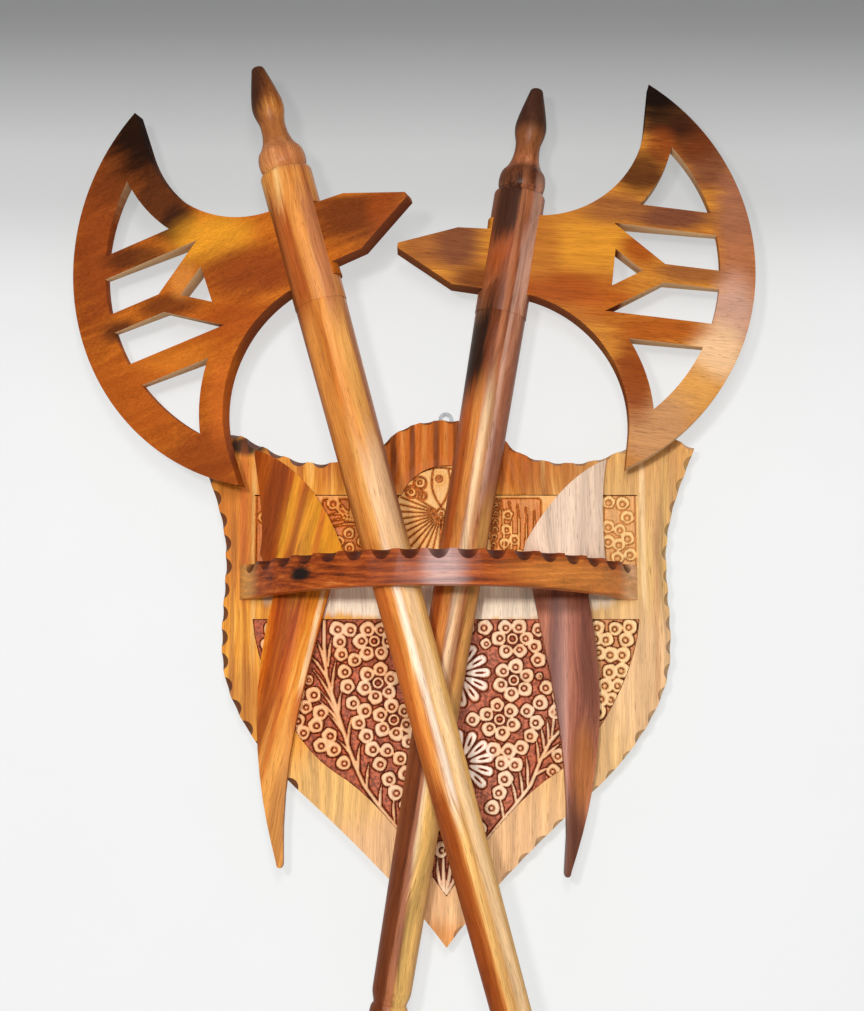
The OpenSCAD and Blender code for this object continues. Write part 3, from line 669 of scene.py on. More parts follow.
class Relief:
    """A carved field inside a ring: heights over the ground on a fine grid, in millimetres."""

    PITCH = 0.5
    MARGIN = 1.0

    def __init__(self, ring, start):
        low, high = ring.min(axis=0) - self.MARGIN, ring.max(axis=0) + self.MARGIN
        self.x = np.arange(low[0], high[0], self.PITCH)
        self.z = np.arange(low[1], high[1], self.PITCH)
        self.X, self.Z = np.meshgrid(self.x, self.z)
        self.rise = np.full(self.X.shape, float(start))
        self.rng = np.random.default_rng(5)
        self.beads = []
        self.inside, self.edge = self._ring_test(ring)

    def _ring_test(self, ring):
        """Which grid points lie in the ring, and how far each is from it."""
        inside = np.zeros(self.X.shape, bool)
        near = np.full(self.X.shape, np.inf)
        for (x0, z0), (x1, z1) in zip(ring, np.roll(ring, -1, axis=0)):
            if z0 != z1:
                crossing = (self.Z >= min(z0, z1)) & (self.Z < max(z0, z1))
                inside ^= crossing & (self.X < x0 + (self.Z - z0) * (x1 - x0) / (z1 - z0))
            near = np.minimum(near, self._to_line(self.X, self.Z, (x0, z0), (x1, z1))[0])
        return inside, near

    @staticmethod
    def _to_line(X, Z, a, b):
        """Distance to a straight stretch, and the share of the way along it."""
        dx, dz = b[0] - a[0], b[1] - a[1]
        square = max(dx * dx + dz * dz, 1e-9)
        t = np.clip(((X - a[0]) * dx + (Z - a[1]) * dz) / square, 0, 1)
        return np.hypot(X - a[0] - t * dx, Z - a[1] - t * dz), t

    def window(self, points, margin):
        """The part of the grid around some points."""
        points = np.asarray(points, float)
        (x0, z0), (x1, z1) = points.min(axis=0) - margin, points.max(axis=0) + margin
        columns = slice(*np.searchsorted(self.x, (x0, x1)))
        rows = slice(*np.searchsorted(self.z, (z0, z1)))
        return (rows, columns), self.X[rows, columns], self.Z[rows, columns]

    def around(self, x, z, margin):
        """The part of the grid around a place, and how far each point is from it."""
        part, X, Z = self.window([(x, z)], margin)
        return part, np.hypot(X - x, Z - z)

    def raise_to(self, part, height):
        self.rise[part] = np.maximum(self.rise[part], height)

    def bead(self, x, z, radius=4.75, height=3.3, towards=(0.0, -0.6)):
        """A round petal with a pit to one side of its top and a small core in the pit."""
        radius *= self.rng.uniform(*PETAL_SIZES)
        x += self.rng.uniform(-PETAL_SHIFT, PETAL_SHIFT)
        z += self.rng.uniform(-PETAL_SHIFT, PETAL_SHIFT)
        self.beads.append((x, z, radius))
        part, X, Z = self.window([(x, z)], radius + self.MARGIN)
        lobes, start = int(self.rng.integers(*PETAL_LOBES)), self.rng.uniform(0, 2 * math.pi)
        d = np.hypot(X - x, Z - z) * (1 + LOBE_DEPTH * np.cos(lobes * np.arctan2(Z - z, X - x) + start))
        dome = height * wall(radius - d, PETAL_WALL) ** PETAL_FULLNESS - PETAL_SAG * (d / radius) ** 4
        pit_x, pit_z = (at + way * PIT_SHIFT * radius for at, way in zip((x, z), towards))
        eye = np.hypot(X - pit_x, Z - pit_z) / radius
        pit = PIT_DEPTH * wall(PIT_R - eye, PIT_WALL)
        core = CORE_HEIGHT * wall(CORE_R - eye, PIT_WALL)
        self.raise_to(part, np.where(d < radius, dome - pit + core, 0))

    def fill(self, tries, radius, lines):
        """Adds beads wherever there is still room between the others and away from the lines."""
        for _ in range(tries):
            x = self.rng.uniform(self.x[0], self.x[-1])
            z = self.rng.uniform(self.z[0], self.z[-1])
            column = min(int((x - self.x[0]) / self.PITCH), len(self.x) - 1)
            row = min(int((z - self.z[0]) / self.PITCH), len(self.z) - 1)
            if not self.inside[row, column] or self.edge[row, column] < radius + BORDER_ROOM:
                continue
            if any(math.hypot(x - bx, z - bz) < br + radius + BEAD_ROOM for bx, bz, br in self.beads):
                continue
            stretches = (ends for line in lines for ends in zip(line, line[1:]))
            if any(self._to_line(x, z, *ends)[0] < radius + LINE_ROOM for ends in stretches):
                continue
            self.bead(x, z, radius, towards=SINGLE_PIT)

    def rosette(self, x, z, petals=6, spread=8.5, turn=0.0, radius=4.65):
        """A ring of round petals about a drilled middle."""
        self.beads.append((x, z, radius))
        for k in range(petals):
            angle = turn + 2 * math.pi * k / petals
            way = np.array([math.cos(angle), math.sin(angle)])
            self.bead(*(np.array([x, z]) + spread * way), radius, towards=ROSETTE_PIT * way)
        part, d = self.around(x, z, BUTTON_R)
        button = BUTTON_HEIGHT * wall(BUTTON_R - d, BUTTON_WALL)
        button -= DRILL_DEPTH * wall(DRILL_R - d, DRILL_WALL)
        self.raise_to(part, np.where(d < BUTTON_R, button, 0))

    def daisy(self, x, z, radius=20.0, petals=13, turn=0.0):
        """Long petals about a button, each with a slit."""
        self.beads.append((x, z, radius * DAISY_ROOM))
        for k in range(petals):
            angle = turn + 2 * math.pi * k / petals
            along = np.array([math.cos(angle), math.sin(angle)])
            centre = np.array([x, z]) + along * radius * DAISY_MIDDLE
            part, X, Z = self.window([centre], radius * DAISY_WINDOW)
            u = (X - centre[0]) * along[0] + (Z - centre[1]) * along[1]
            v = -(X - centre[0]) * along[1] + (Z - centre[1]) * along[0]
            u /= radius
            width = DAISY_WIDTH * np.clip(DAISY_ROOT + u * DAISY_TAPER, DAISY_NARROW, 1.0)
            body = np.clip(1 - (u / DAISY_HALF) ** 4 - (v / width) ** 2, 0, None) ** 0.5
            slit = np.clip(1 - ((u - SLIT_MIDDLE) / SLIT_HALF) ** 2, 0, 1) * np.exp(-(v / SLIT_WIDTH) ** 2)
            self.raise_to(part, DAISY_HEIGHT * body - SLIT_DEPTH * slit * (body > 0))
        part, d = self.around(x, z, EYE_R)
        eye = EYE_HEIGHT * wall(EYE_R - d, EYE_WALL) - EYE_DIP * np.exp(-(d / EYE_DIP_R) ** 2)
        self.raise_to(part, np.where(d < EYE_R, eye, 0))

    def blade(self, start, bend, end, width=1.5, height=2.8, even=False):
        """A grass-like leaf or a stem along a curve, full at the root and fine at the tip."""
        steps = 14
        line = bow(start, bend, end, steps)
        part, X, Z = self.window(line, width + self.MARGIN)
        for k in range(steps):
            d, share = self._to_line(X, Z, line[k], line[k + 1])
            full = np.sin(math.pi * np.clip(BLADE_ROOT + BLADE_SPAN * (k + share) / steps, 0, 1))
            half = width * (1.0 if even else np.clip(full, BLADE_NARROW, 1))
            self.raise_to(part, height * np.clip(1 - (d / half) ** 2, 0, None) ** BLADE_FULLNESS)

    def groove(self, start, bend, end, width, depth, steps=12):
        """A line cut into what stands up."""
        line = bow(start, bend, end, steps)
        part, X, Z = self.window(line, width * 3)
        d = np.min([self._to_line(X, Z, a, b)[0] for a, b in zip(line[:-1], line[1:])], axis=0)
        self.rise[part] -= depth * np.exp(-(d / width) ** 2)

    def hollow(self, x, z, radius, depth):
        """A round hole with a fine ring about it."""
        part, d = self.around(x, z, radius * 3)
        ring = np.exp(-((d - HOLLOW_RING * radius) / HOLLOW_RING_WIDTH) ** 2)
        self.rise[part] -= depth * np.exp(-(d / radius) ** 4) + HOLLOW_RING_DEPTH * ring

    def outline(self, foot, to):
        """Cuts a narrow moat to a level about all that stands higher than foot."""
        tall = self.rise > foot
        near = tall.copy()
        for down in (-1, 0, 1):
            for right in (-1, 0, 1):
                near |= np.roll(np.roll(tall, down, axis=0), right, axis=1)
        moat = near & ~tall
        self.rise[moat] = np.minimum(self.rise[moat], to)

    def sink(self, x0, x1, z0, z1, to, corner=3.0):
        """Cuts a sunk field with rounded corners."""
        part, X, Z = self.window([(x0, z0), (x1, z1)], self.MARGIN)
        dx = np.maximum(np.maximum(x0 + corner - X, X - x1 + corner), 0)
        dz = np.maximum(np.maximum(z0 + corner - Z, Z - z1 + corner), 0)
        share = wall(corner - np.hypot(dx, dz), SINK_WALL)
        self.rise[part] = self.rise[part] * (1 - share) + np.minimum(self.rise[part], to) * share

    def dish(self, x, z, half, to, corner):
        """Cuts a small sunk field about a place."""
        self.sink(x - half, x + half, z - half, z + half, to, corner)

    def solid(self, name, material, ground_y, base_y):
        """The field as a closed slab between its carved face and a flat base."""
        rng = np.random.default_rng(7)
        rise = np.clip(self.rise + rng.normal(0, TOOL_TRACES, self.rise.shape), SKIN, PANEL_DEPTH - SKIN)
        kept = self.inside | (self.edge < UNDER_BORDER)
        rise = np.where(self.inside, rise, SKIN)
        cell = kept[:-1, :-1] & kept[:-1, 1:] & kept[1:, :-1] & kept[1:, 1:]
        used = np.zeros(kept.shape, bool)
        halves = (slice(0, -1), slice(1, None))
        for rows in halves:
            for columns in halves:
                used[rows, columns] |= cell
        count = int(used.sum())
        index = np.full(kept.shape, -1)
        index[used] = np.arange(count)
        top = np.column_stack([self.X[used], ground_y - rise[used], self.Z[used]])
        base = np.column_stack([self.X[used], np.full(count, base_y), self.Z[used]])
        r, c = np.nonzero(cell)
        a, b = index[r, c], index[r, c + 1]
        d, e = index[r + 1, c], index[r + 1, c + 1]
        faces = [np.column_stack([a, b, e, d]), np.column_stack([d, e, b, a]) + count]
        padded = np.pad(cell, 1)
        middle = padded[1:-1, 1:-1]
        for other, first, second in ((padded[:-2, 1:-1], a, b), (padded[2:, 1:-1], e, d),
                                     (padded[1:-1, :-2], d, a), (padded[1:-1, 2:], b, e)):
            rim = (middle & ~other)[r, c]
            low, high = first[rim], second[rim]
            faces.append(np.column_stack([high, low, low + count, high + count]))
        mesh = bpy.data.meshes.new(name)
        mesh.from_pydata(np.vstack([top, base]) * MM, [], np.vstack(faces).tolist())
        mesh.materials.append(material)
        for face in mesh.polygons:
            face.use_smooth = True
        mesh.set_sharp_from_angle(angle=SLAB_SMOOTH)
        return mesh


def at_board(x, drop):
    """A place on the board: millimetres right of the middle and below the top."""
    return (x, TOP_Z - drop)


# Places on the carved panels: millimetres right of the board's middle and below its top
FAN_CENTRE = np.array([-3.0, 57.0])
FAN_REACH = 30.5
LOWER_ROSETTES = ((-42.6, 134.0), (-40.3, 158.8), (-30.9, 180.6), (39.4, 132.6), (40.0, 157.2),
                  (31.5, 180.4), (-13.0, 137.0), (-10.0, 186.0), (83.0, 138.0), (76.0, 166.0),
                  (-92.0, 138.0))
DAISIES = ((6.5, 153.5, 0.05), (8.5, 206.0, 0.2))
LEFT_SINGLES = ((-65, 126.5), (-57, 127), (-63.6, 134), (-62, 142), (-54.6, 145), (-60.6, 152),
                (-58.4, 161), (-55.4, 170.7), (-48, 175), (-51.6, 182), (-47, 190), (-43.4, 197.7),
                (-35, 198.5), (-39, 206.7), (-27, 203), (-33.6, 215), (-30, 223), (-24, 212),
                (-78.6, 165.5), (-83, 173), (-74, 176), (-88, 181), (-77, 184), (-84.5, 188),
                (-69, 189.5), (-74, 195.5), (-66.6, 197.7), (-60.6, 206), (-88, 165), (-93, 173),
                (-104, 127), (-106, 136), (-104, 146), (-98, 153), (-101, 162), (-95, 164), (-90, 154))
RIGHT_SINGLES = ((23, 125.5), (55, 145), (53, 137), (55, 127), (59.4, 161.7), (55.7, 170.7), (48, 175),
                 (53.4, 182), (49.7, 190), (44.4, 197), (37, 198.5), (40.7, 206.7), (34.7, 215),
                 (31, 223), (27, 231.5), (66, 201.5), (63, 210.5), (101, 126.5), (95.4, 133),
                 (107.4, 133), (109, 125.5), (97.7, 142), (105, 142), (97, 152), (104, 151), (94.7, 160),
                 (102, 160), (97.7, 168.5), (90, 176), (92, 168), (84, 182), (78, 182), (72, 152),
                 (66, 130), (70, 140), (65, 176), (84, 154), (90, 125.5), (76, 125))
MIDDLE_SINGLES = ((0, 127), (-26, 126), (-24, 148), (-20, 158), (-14, 168), (-5, 172), (-22, 193),
                  (-14, 202), (-18, 213), (-12, 223), (-4, 232), (6, 236), (14, 233), (-16, 232),
                  (-8, 243), (2, 246), (10, 243), (-3, 256), (16, 180), (28, 198), (33, 206))
LEFT_STEM = ((-72.6, 122), (-72.4, 137), (-70.8, 155), (-63.6, 177.6), (-58.4, 194), (-54, 206.4),
             (-48.4, 218.6), (-39.6, 230.6), (-30.6, 241.4), (-24, 250))
RIGHT_STEM = ((70, 184), (61.2, 193.2), (55, 205.2), (49.6, 218.6), (41, 229.6), (31, 241.4), (24, 250))
LEFT_BLADES = (((-69.8, 149), (-69.6, 139), (-67.6, 130.6)), ((-67.4, 166), (-67.4, 154), (-64.8, 143)),
               ((-63.4, 179), (-63.6, 170), (-61.6, 162)), ((-57.6, 197), (-58, 187), (-55.6, 177.6)),
               ((-51.6, 212), (-52.4, 202), (-50.2, 193)), ((-46.4, 221), (-47, 213), (-45, 205)),
               ((-38.4, 232), (-39.4, 225), (-37.4, 217)), ((-63.6, 177.6), (-70, 161), (-80.6, 149)),
               ((-65, 174), (-68, 160), (-77.4, 144)), ((-62.4, 182.4), (-67, 171), (-76, 162)),
               ((-58.8, 192), (-63, 183), (-71, 176)), ((-52.8, 206.4), (-57, 198), (-65, 191.6)),
               ((-72, 149), (-73.4, 140), (-77.4, 133)), ((-69, 160), (-74, 148), (-84, 140)),
               ((-60.6, 187), (-66, 176), (-78, 167)), ((-30, 240), (-31.6, 232), (-30.4, 226)))
RIGHT_BLADES = (((61.8, 192), (64.4, 178), (63.4, 165.6)), ((60, 194), (60.4, 186), (59.2, 179)),
                ((54, 205.2), (54.4, 198), (52.4, 191)), ((47.6, 220.8), (48.4, 210), (46.6, 200)),
                ((41, 230), (40.4, 222), (37.4, 214.6)), ((57.6, 202.8), (62, 198), (69, 193)),
                ((52.4, 213), (56, 210), (62, 208)), ((33.4, 239), (33, 231), (30.6, 224)),
                ((57.6, 198), (57.2, 190), (55.4, 184)), ((44.6, 225), (44.4, 216), (42.6, 209)))
UPPER_PETALS = ((97.8, 50), (106.2, 50.7), (108.9, 59.2), (97.2, 65), (104, 67), (103.2, 76), (97, 74),
                (102.9, 84), (109, 72), (110, 82), (-98, 50), (-106, 51), (-109, 59), (-97, 65),
                (-104, 67), (-103, 76), (-103, 84), (-58, 69), (-57.6, 78), (-64, 74), (-50, 74),
                (-52, 83), (-64, 84), (37, 58), (36, 67), (35, 75), (41, 73), (37, 83), (44, 82),
                (52, 84), (30, 86))

# Lower panel: level of its ground, turn from rosette to rosette, tries and radii of the beads that fill it
LOWER_GROUND = 1.0
ROSETTE_TURN = 0.35
FILL_TRIES, FILL_RADII = 1200, (4.4, 3.5, 2.5)
# The spray in the point of the shield: its root, then the lean and height of each blade
SPRAY_X, SPRAY_DROP = -1, 282
SPRAY_BLADES = ((-10, 15), (-6, 22), (-2, 27), (3, 26), (7, 20), (10, 13))
SPRAY_BEND, SPRAY_TIP = 1.1, 0.8
# Leaves end short of their tip; sizes of leaves and stems; what stands up and how deep its moat goes
LEAF_SHORT = 0.15
LEAF_SIZE = {"width": 1.15, "height": 3.0}
STEM_SIZE = {"width": 1.4, "height": 3.1, "even": True}
LOWER_MOAT = {"foot": 1.3, "to": 0.1}


def carve_lower(ring):
    """Flowers, daisies and grass sprays of the lower panel."""
    field = Relief(ring, LOWER_GROUND)
    for k, spot in enumerate(LOWER_ROSETTES):
        field.rosette(*at_board(*spot), turn=ROSETTE_TURN * k)
    for x, drop, turn in DAISIES:
        field.daisy(*at_board(x, drop), turn=turn)
    pit_x, pit_z = SINGLE_PIT
    for spot in LEFT_SINGLES + RIGHT_SINGLES + MIDDLE_SINGLES:
        field.bead(*at_board(*spot), towards=(pit_x if spot[0] < 0 else -pit_x, pit_z))
    spray = []
    for lean, size in SPRAY_BLADES:
        bend = (lean * SPRAY_BEND, SPRAY_DROP - size / 2)
        spray.append(((SPRAY_X, SPRAY_DROP), bend, (lean * SPRAY_TIP, SPRAY_DROP - size)))
    drawn = [*LEFT_BLADES, LEFT_STEM, *RIGHT_BLADES, RIGHT_STEM, *spray]
    lines = [[at_board(*spot) for spot in line] for line in drawn]
    for radius in FILL_RADII:
        field.fill(FILL_TRIES, radius, lines)
    for root, bend, tip in LEFT_BLADES + RIGHT_BLADES:
        tip = np.array(tip) * (1 - LEAF_SHORT) + np.array(bend) * LEAF_SHORT
        field.blade(at_board(*root), at_board(*bend), at_board(*tip), **LEAF_SIZE)
    for stem in (LEFT_STEM, RIGHT_STEM):
        for root, tip in zip(stem[1:], stem):
            middle = (np.array(root) + np.array(tip)) / 2
            field.blade(at_board(*root), at_board(*middle), at_board(*tip), **STEM_SIZE)
    for blade in spray:
        field.blade(*(at_board(*spot) for spot in blade))
    field.outline(**LOWER_MOAT)
    return field


# Upper panel: level of what is left standing; height of the petals on the fan, and shift of their pits
UPPER_LEVEL = PANEL_DEPTH - 0.25
FAN_PETAL_HEIGHT, FAN_PIT = 3.2, 0.4
# The fan: ribs from both sides (first angle, way round), by their reach; the first ones are shorter
RIB_COUNT, RIB_STEP, RIB_STARTS = 13, 10, ((148, 1), (32, -1))
SHORT_RIBS, SHORT_RIB, LONG_RIB = 5, (4, 16, 26), (4, 16, 34)
RIB_CUT = {"width": 0.45, "depth": 2.1}
# The leaf that stands on the fan: its foot over the middle, its bend and tip; petals beside it in dishes
FAN_LEAF_FOOT, FAN_LEAF_BEND, FAN_LEAF_TIP = 4, (8.0, 42.0), (4.5, 30.5)
FAN_LEAF_CUT = {"width": 0.5, "depth": 2.1}
FAN_PETALS = ((12.6, 38.6, 3.2), (17.6, 44.0, 3.0), (11.4, 46.6, 2.0))
DISH_RIM, DISH_CORNER, DISH_LEVEL = 1.6, 1.5, 1.5
# The hollow in the leaf, the dashes along the fan's rim (degrees) and the hub
HOLLOW_X, HOLLOW_DROP, HOLLOW_R, HOLLOW_DEPTH = -1.0, 36.0, 2.4, 2.2
DASH_COUNT, DASH_STEP, DASH_FIRST, DASH_ARC, DASH_REACH = 46, 5, -6, (0, 2.6, 5.2), 27.8
DASH_CUT = {"width": 0.5, "depth": 1.8, "steps": 2}
HUB_R, HUB_LEVEL, HUB_BEAD_R = 3.6, 1.4, 2.6
# Sunk fields beside the fan: left, right, low and high side; their level and the petals in them
SUNK_FIELDS = ((94, 114.5, 91, 43), (-114.5, -94, 91, 43), (-75, -47, 91, 47.5), (26, 58, 91, 47))
SUNK_LEVEL = 1.75
OUTER_FROM, OUTER_PETAL_R, INNER_PETAL_R, UPPER_PETAL_HEIGHT = 90, 4.3, 3.6, 3.1
# A column of small beads: the first, the step to the next, and their size
COLUMN_COUNT, COLUMN_X, COLUMN_DROP, COLUMN_LEAN, COLUMN_STEP = 9, 30.8, 48.5, -0.35, 4.6
COLUMN_BEAD = {"radius": 2.1, "height": 3.0}
UPPER_MOAT = {"foot": 2.3, "to": 1.0}


def carve_upper(ring):
    """The fan between the handles, with small flower fields and grass beside it."""
    field = Relief(ring, UPPER_LEVEL)
    fan_x = FAN_CENTRE[0]

    def on_fan(degrees, reach):
        """A place on the fan, by its angle and its distance from the middle."""
        angle = math.radians(degrees)
        return at_board(*(FAN_CENTRE + reach * np.array([math.cos(angle), -math.sin(angle)])))

    def spray(count, width, *points):
        """Blades side by side, by root, bend and tip: each a place and the step to the next blade's."""
        for k in range(count):
            blade = (at_board(x + right * k, drop + down * k) for x, drop, right, down in points)
            field.blade(*blade, width=width)

    for k in range(RIB_COUNT):
        for start, way in RIB_STARTS:
            rib = SHORT_RIB if k < SHORT_RIBS else LONG_RIB
            field.groove(*(on_fan(start + way * RIB_STEP * k, reach) for reach in rib), **RIB_CUT)
    for side in (-1, 1):
        bend, tip = (at_board(fan_x + side * x, drop) for x, drop in (FAN_LEAF_BEND, FAN_LEAF_TIP))
        field.groove(on_fan(90, FAN_LEAF_FOOT), bend, tip, **FAN_LEAF_CUT)
        for x, drop, radius in FAN_PETALS:
            spot = at_board(fan_x + side * x, drop)
            field.dish(*spot, radius + DISH_RIM, DISH_LEVEL, radius + DISH_CORNER)
            field.bead(*spot, radius=radius, height=FAN_PETAL_HEIGHT, towards=(FAN_PIT * side, FAN_PIT))
    field.hollow(*at_board(fan_x + HOLLOW_X, HOLLOW_DROP), HOLLOW_R, HOLLOW_DEPTH)
    for k in range(DASH_COUNT):
        dash = (on_fan(DASH_FIRST + DASH_STEP * k + part, DASH_REACH) for part in DASH_ARC)
        field.groove(*dash, **DASH_CUT)
    field.dish(*at_board(*FAN_CENTRE), HUB_R, HUB_LEVEL, HUB_R)
    field.bead(*at_board(*FAN_CENTRE), radius=HUB_BEAD_R)
    for left, right, low, high in SUNK_FIELDS:
        field.sink(left, right, TOP_Z - low, TOP_Z - high, SUNK_LEVEL)
    for x, drop in UPPER_PETALS:
        radius = OUTER_PETAL_R if abs(x) > OUTER_FROM else INNER_PETAL_R
        field.bead(*at_board(x, drop), radius=radius, height=UPPER_PETAL_HEIGHT)
    for k in range(COLUMN_COUNT):
        field.bead(*at_board(COLUMN_X + COLUMN_LEAN * k, COLUMN_DROP + COLUMN_STEP * k), **COLUMN_BEAD)
    spray(6, 1.2, (34, 90, 4, 0), (36, 70, 4.5, 0), (33, 48, 5, 2))
    spray(5, 1.3, (-60, 62, 1, 0), (-62, 56, 3, 0), (-72, 49, 7, 0))
    field.bead(*at_board(-68, 50.5), radius=4.4)
    spray(4, 1.1, (-48, 66, -2, -2), (-56, 61, -2, -3), (-70, 66, 0, -4))
    field.outline(**UPPER_MOAT)
    return field


# The board with its worked edge

# Gouge cuts along the edge: radius, pitch, slope, and the tool's reach before and behind the front
GOUGE_R, GOUGE_PITCH = 6.0, 14.2
GOUGE_SLOPE = math.radians(60)
GOUGE_BEFORE, GOUGE_BEHIND = 5, 12
# How far the cuts come in over the arch, on the left as far as they go, and on the right high and low
ARCH_DROP, ARCH_HALF, ARCH_BITE, ARCH_STRAY = 42, 70, 2.2, (-0.3, 0.3)
LEFT_LAST, LEFT_BITE, LEFT_STRAY = 222, 3.5, (-0.4, 0.4)
RIGHT_CHANGE, RIGHT_BITE, RIGHT_LOW_BITE, RIGHT_STRAY = 200, 2.7, 2.2, (-0.5, 0.4)
# Flutes over the fan: pitch and depth, half width, where they fade to the sides, steps of the cutter
FLUTE_PITCH, FLUTE_DEPTH = 6.2, 0.9
FLUTES_HALF, FLUTES_FULL, FLUTES_FADE, FLUTE_STEP, FLUTE_ROWS = 54.0, 44.0, 8.0, 0.75, 25
# Their low end beside the fan and at the lowest, their gap to the fan, top, splay and run-out, the cutter
BESIDE_FAN, FLUTES_LOWEST, FAN_GAP, FLUTES_TOP = 52.0, 50.0, 1.5, -8.0
FLUTE_SPLAY, RUN_OUT, CUTTER_LIFT, CUTTER_FRONT = 160.0, 6.0, 0.06, 4.0


def gouge_bite(x, drop, rng):
    """How far a gouge cut comes in from the edge; nothing where the edge was left plain."""
    if drop < ARCH_DROP and abs(x) < ARCH_HALF:
        return ARCH_BITE + rng.uniform(*ARCH_STRAY)
    if x < 0:
        return LEFT_BITE + rng.uniform(*LEFT_STRAY) if drop < LEFT_LAST else 0.0
    return (RIGHT_BITE if drop < RIGHT_CHANGE else RIGHT_LOW_BITE) + rng.uniform(*RIGHT_STRAY)


def flute_cutter():
    """A slab with a rippled back that cuts shallow upright flutes into the arch over the fan."""
    columns = np.arange(-FLUTES_HALF, FLUTES_HALF + FLUTE_STEP / 2, FLUTE_STEP)
    shares = np.linspace(0.0, 1.0, FLUTE_ROWS)
    bm = bmesh.new()
    back, front = [], []
    for x in columns:
        from_fan = x - FAN_CENTRE[0]
        side = 1.0 - np.clip((abs(x) - FLUTES_FULL) / FLUTES_FADE, 0, 1)
        reach = FAN_REACH ** 2 - from_fan ** 2
        low = FAN_CENTRE[1] - math.sqrt(reach) if reach > 0 else BESIDE_FAN
        low = min(low, FLUTES_LOWEST) - FAN_GAP
        back_line, front_line = [], []
        for share in shares:
            drop = low * (1 - share) + FLUTES_TOP * share
            lane = from_fan * (1.0 - drop / FLUTE_SPLAY) / FLUTE_PITCH
            ripple = 1.0 - (2.0 * (lane - math.floor(lane)) - 1.0) ** 2
            depth = FLUTE_DEPTH * ripple * side * min(1.0, share * RUN_OUT)
            z = TOP_Z - drop
            back_line.append(bm.verts.new(Vector((x, FRONT_Y + depth - CUTTER_LIFT, z)) * MM))
            front_line.append(bm.verts.new(Vector((x, FRONT_Y - CUTTER_FRONT, z)) * MM))
        back.append(back_line)
        front.append(front_line)
    last_x, last_s = len(columns) - 1, len(shares) - 1
    for i in range(last_x):
        for j in range(last_s):
            bm.faces.new((back[i][j], back[i + 1][j], back[i + 1][j + 1], back[i][j + 1]))
            bm.faces.new((front[i][j + 1], front[i + 1][j + 1], front[i + 1][j], front[i][j]))
        for j in (0, last_s):
            bm.faces.new((back[i][j], front[i][j], front[i + 1][j], back[i + 1][j]))
    for j in range(last_s):
        for i in (0, last_x):
            bm.faces.new((back[i][j], back[i][j + 1], front[i][j + 1], front[i][j]))
    bmesh.ops.recalc_face_normals(bm, faces=bm.faces)
    return bm


def work_board(material):
    """The board with half-moon gouge cuts along its front edge and flutes on the arch."""
    bm = welded("shield_board", merge=False)
    piece = new_piece("shield_board_wood", finished_mesh(bm, "shield_board_wood", material), "shield_board")
    outline = max(loops_at("shield_board", FRONT_Y), key=lambda ring: abs(signed_area(ring)))
    rng = np.random.default_rng(3)
    cut(piece, flute_cutter(), "flutes")
    cutters = [bmesh.new(), bmesh.new()]
    outward, backward = math.cos(GOUGE_SLOPE), math.sin(GOUGE_SLOPE)
    for k, (spot, out) in enumerate(spaced(outline, GOUGE_PITCH)):
        bite = gouge_bite(spot[0], TOP_Z - spot[1], rng)
        if not bite:
            continue
        x, z = spot + out * (GOUGE_R / backward - bite)
        way = Vector((out[0] * outward, backward, out[1] * outward))
        middle = Vector((x, FRONT_Y, z))
        add_rod(cutters[k % 2], middle - way * GOUGE_BEFORE, middle + way * GOUGE_BEHIND, GOUGE_R)
    for cutter in cutters:
        cut(piece, cutter, "gouges")
    bm = bmesh.new()
    bm.from_mesh(piece.data)
    old = piece.data
    piece.data = finished_mesh(bm, "shield_board_worked", material, smooth_under=30, flat_way=Vector(BACK))
    bpy.data.meshes.remove(old)


# Woods of the pieces

LEFT_AXIS, RIGHT_AXIS = (tuple(joint["axis"]) for joint in frame["record"]["behaviour"]["joints"][:2])


def on_axis(node, axis):
    """The point of a shaft's middle line at the height of the hanging eye, in millimetres."""
    low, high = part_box(node)
    middle = (Vector(low) + Vector(high)) / (2 * MM)
    return tuple(middle - Vector(axis) * (middle.z / axis[2]))


def patches_at(y, reach, *rows):
    """Patches about a depth y: x, z, half width, half height, tone, strength and softness of each."""
    return [Patch((x, y, z), (wide, reach, tall), *look) for x, z, wide, tall, *look in rows]


def streaks_in(*rows):
    """Streaks: place across, half width, ends, tone, strength, fading and softness of each."""
    return [Streak(*row) for row in rows]


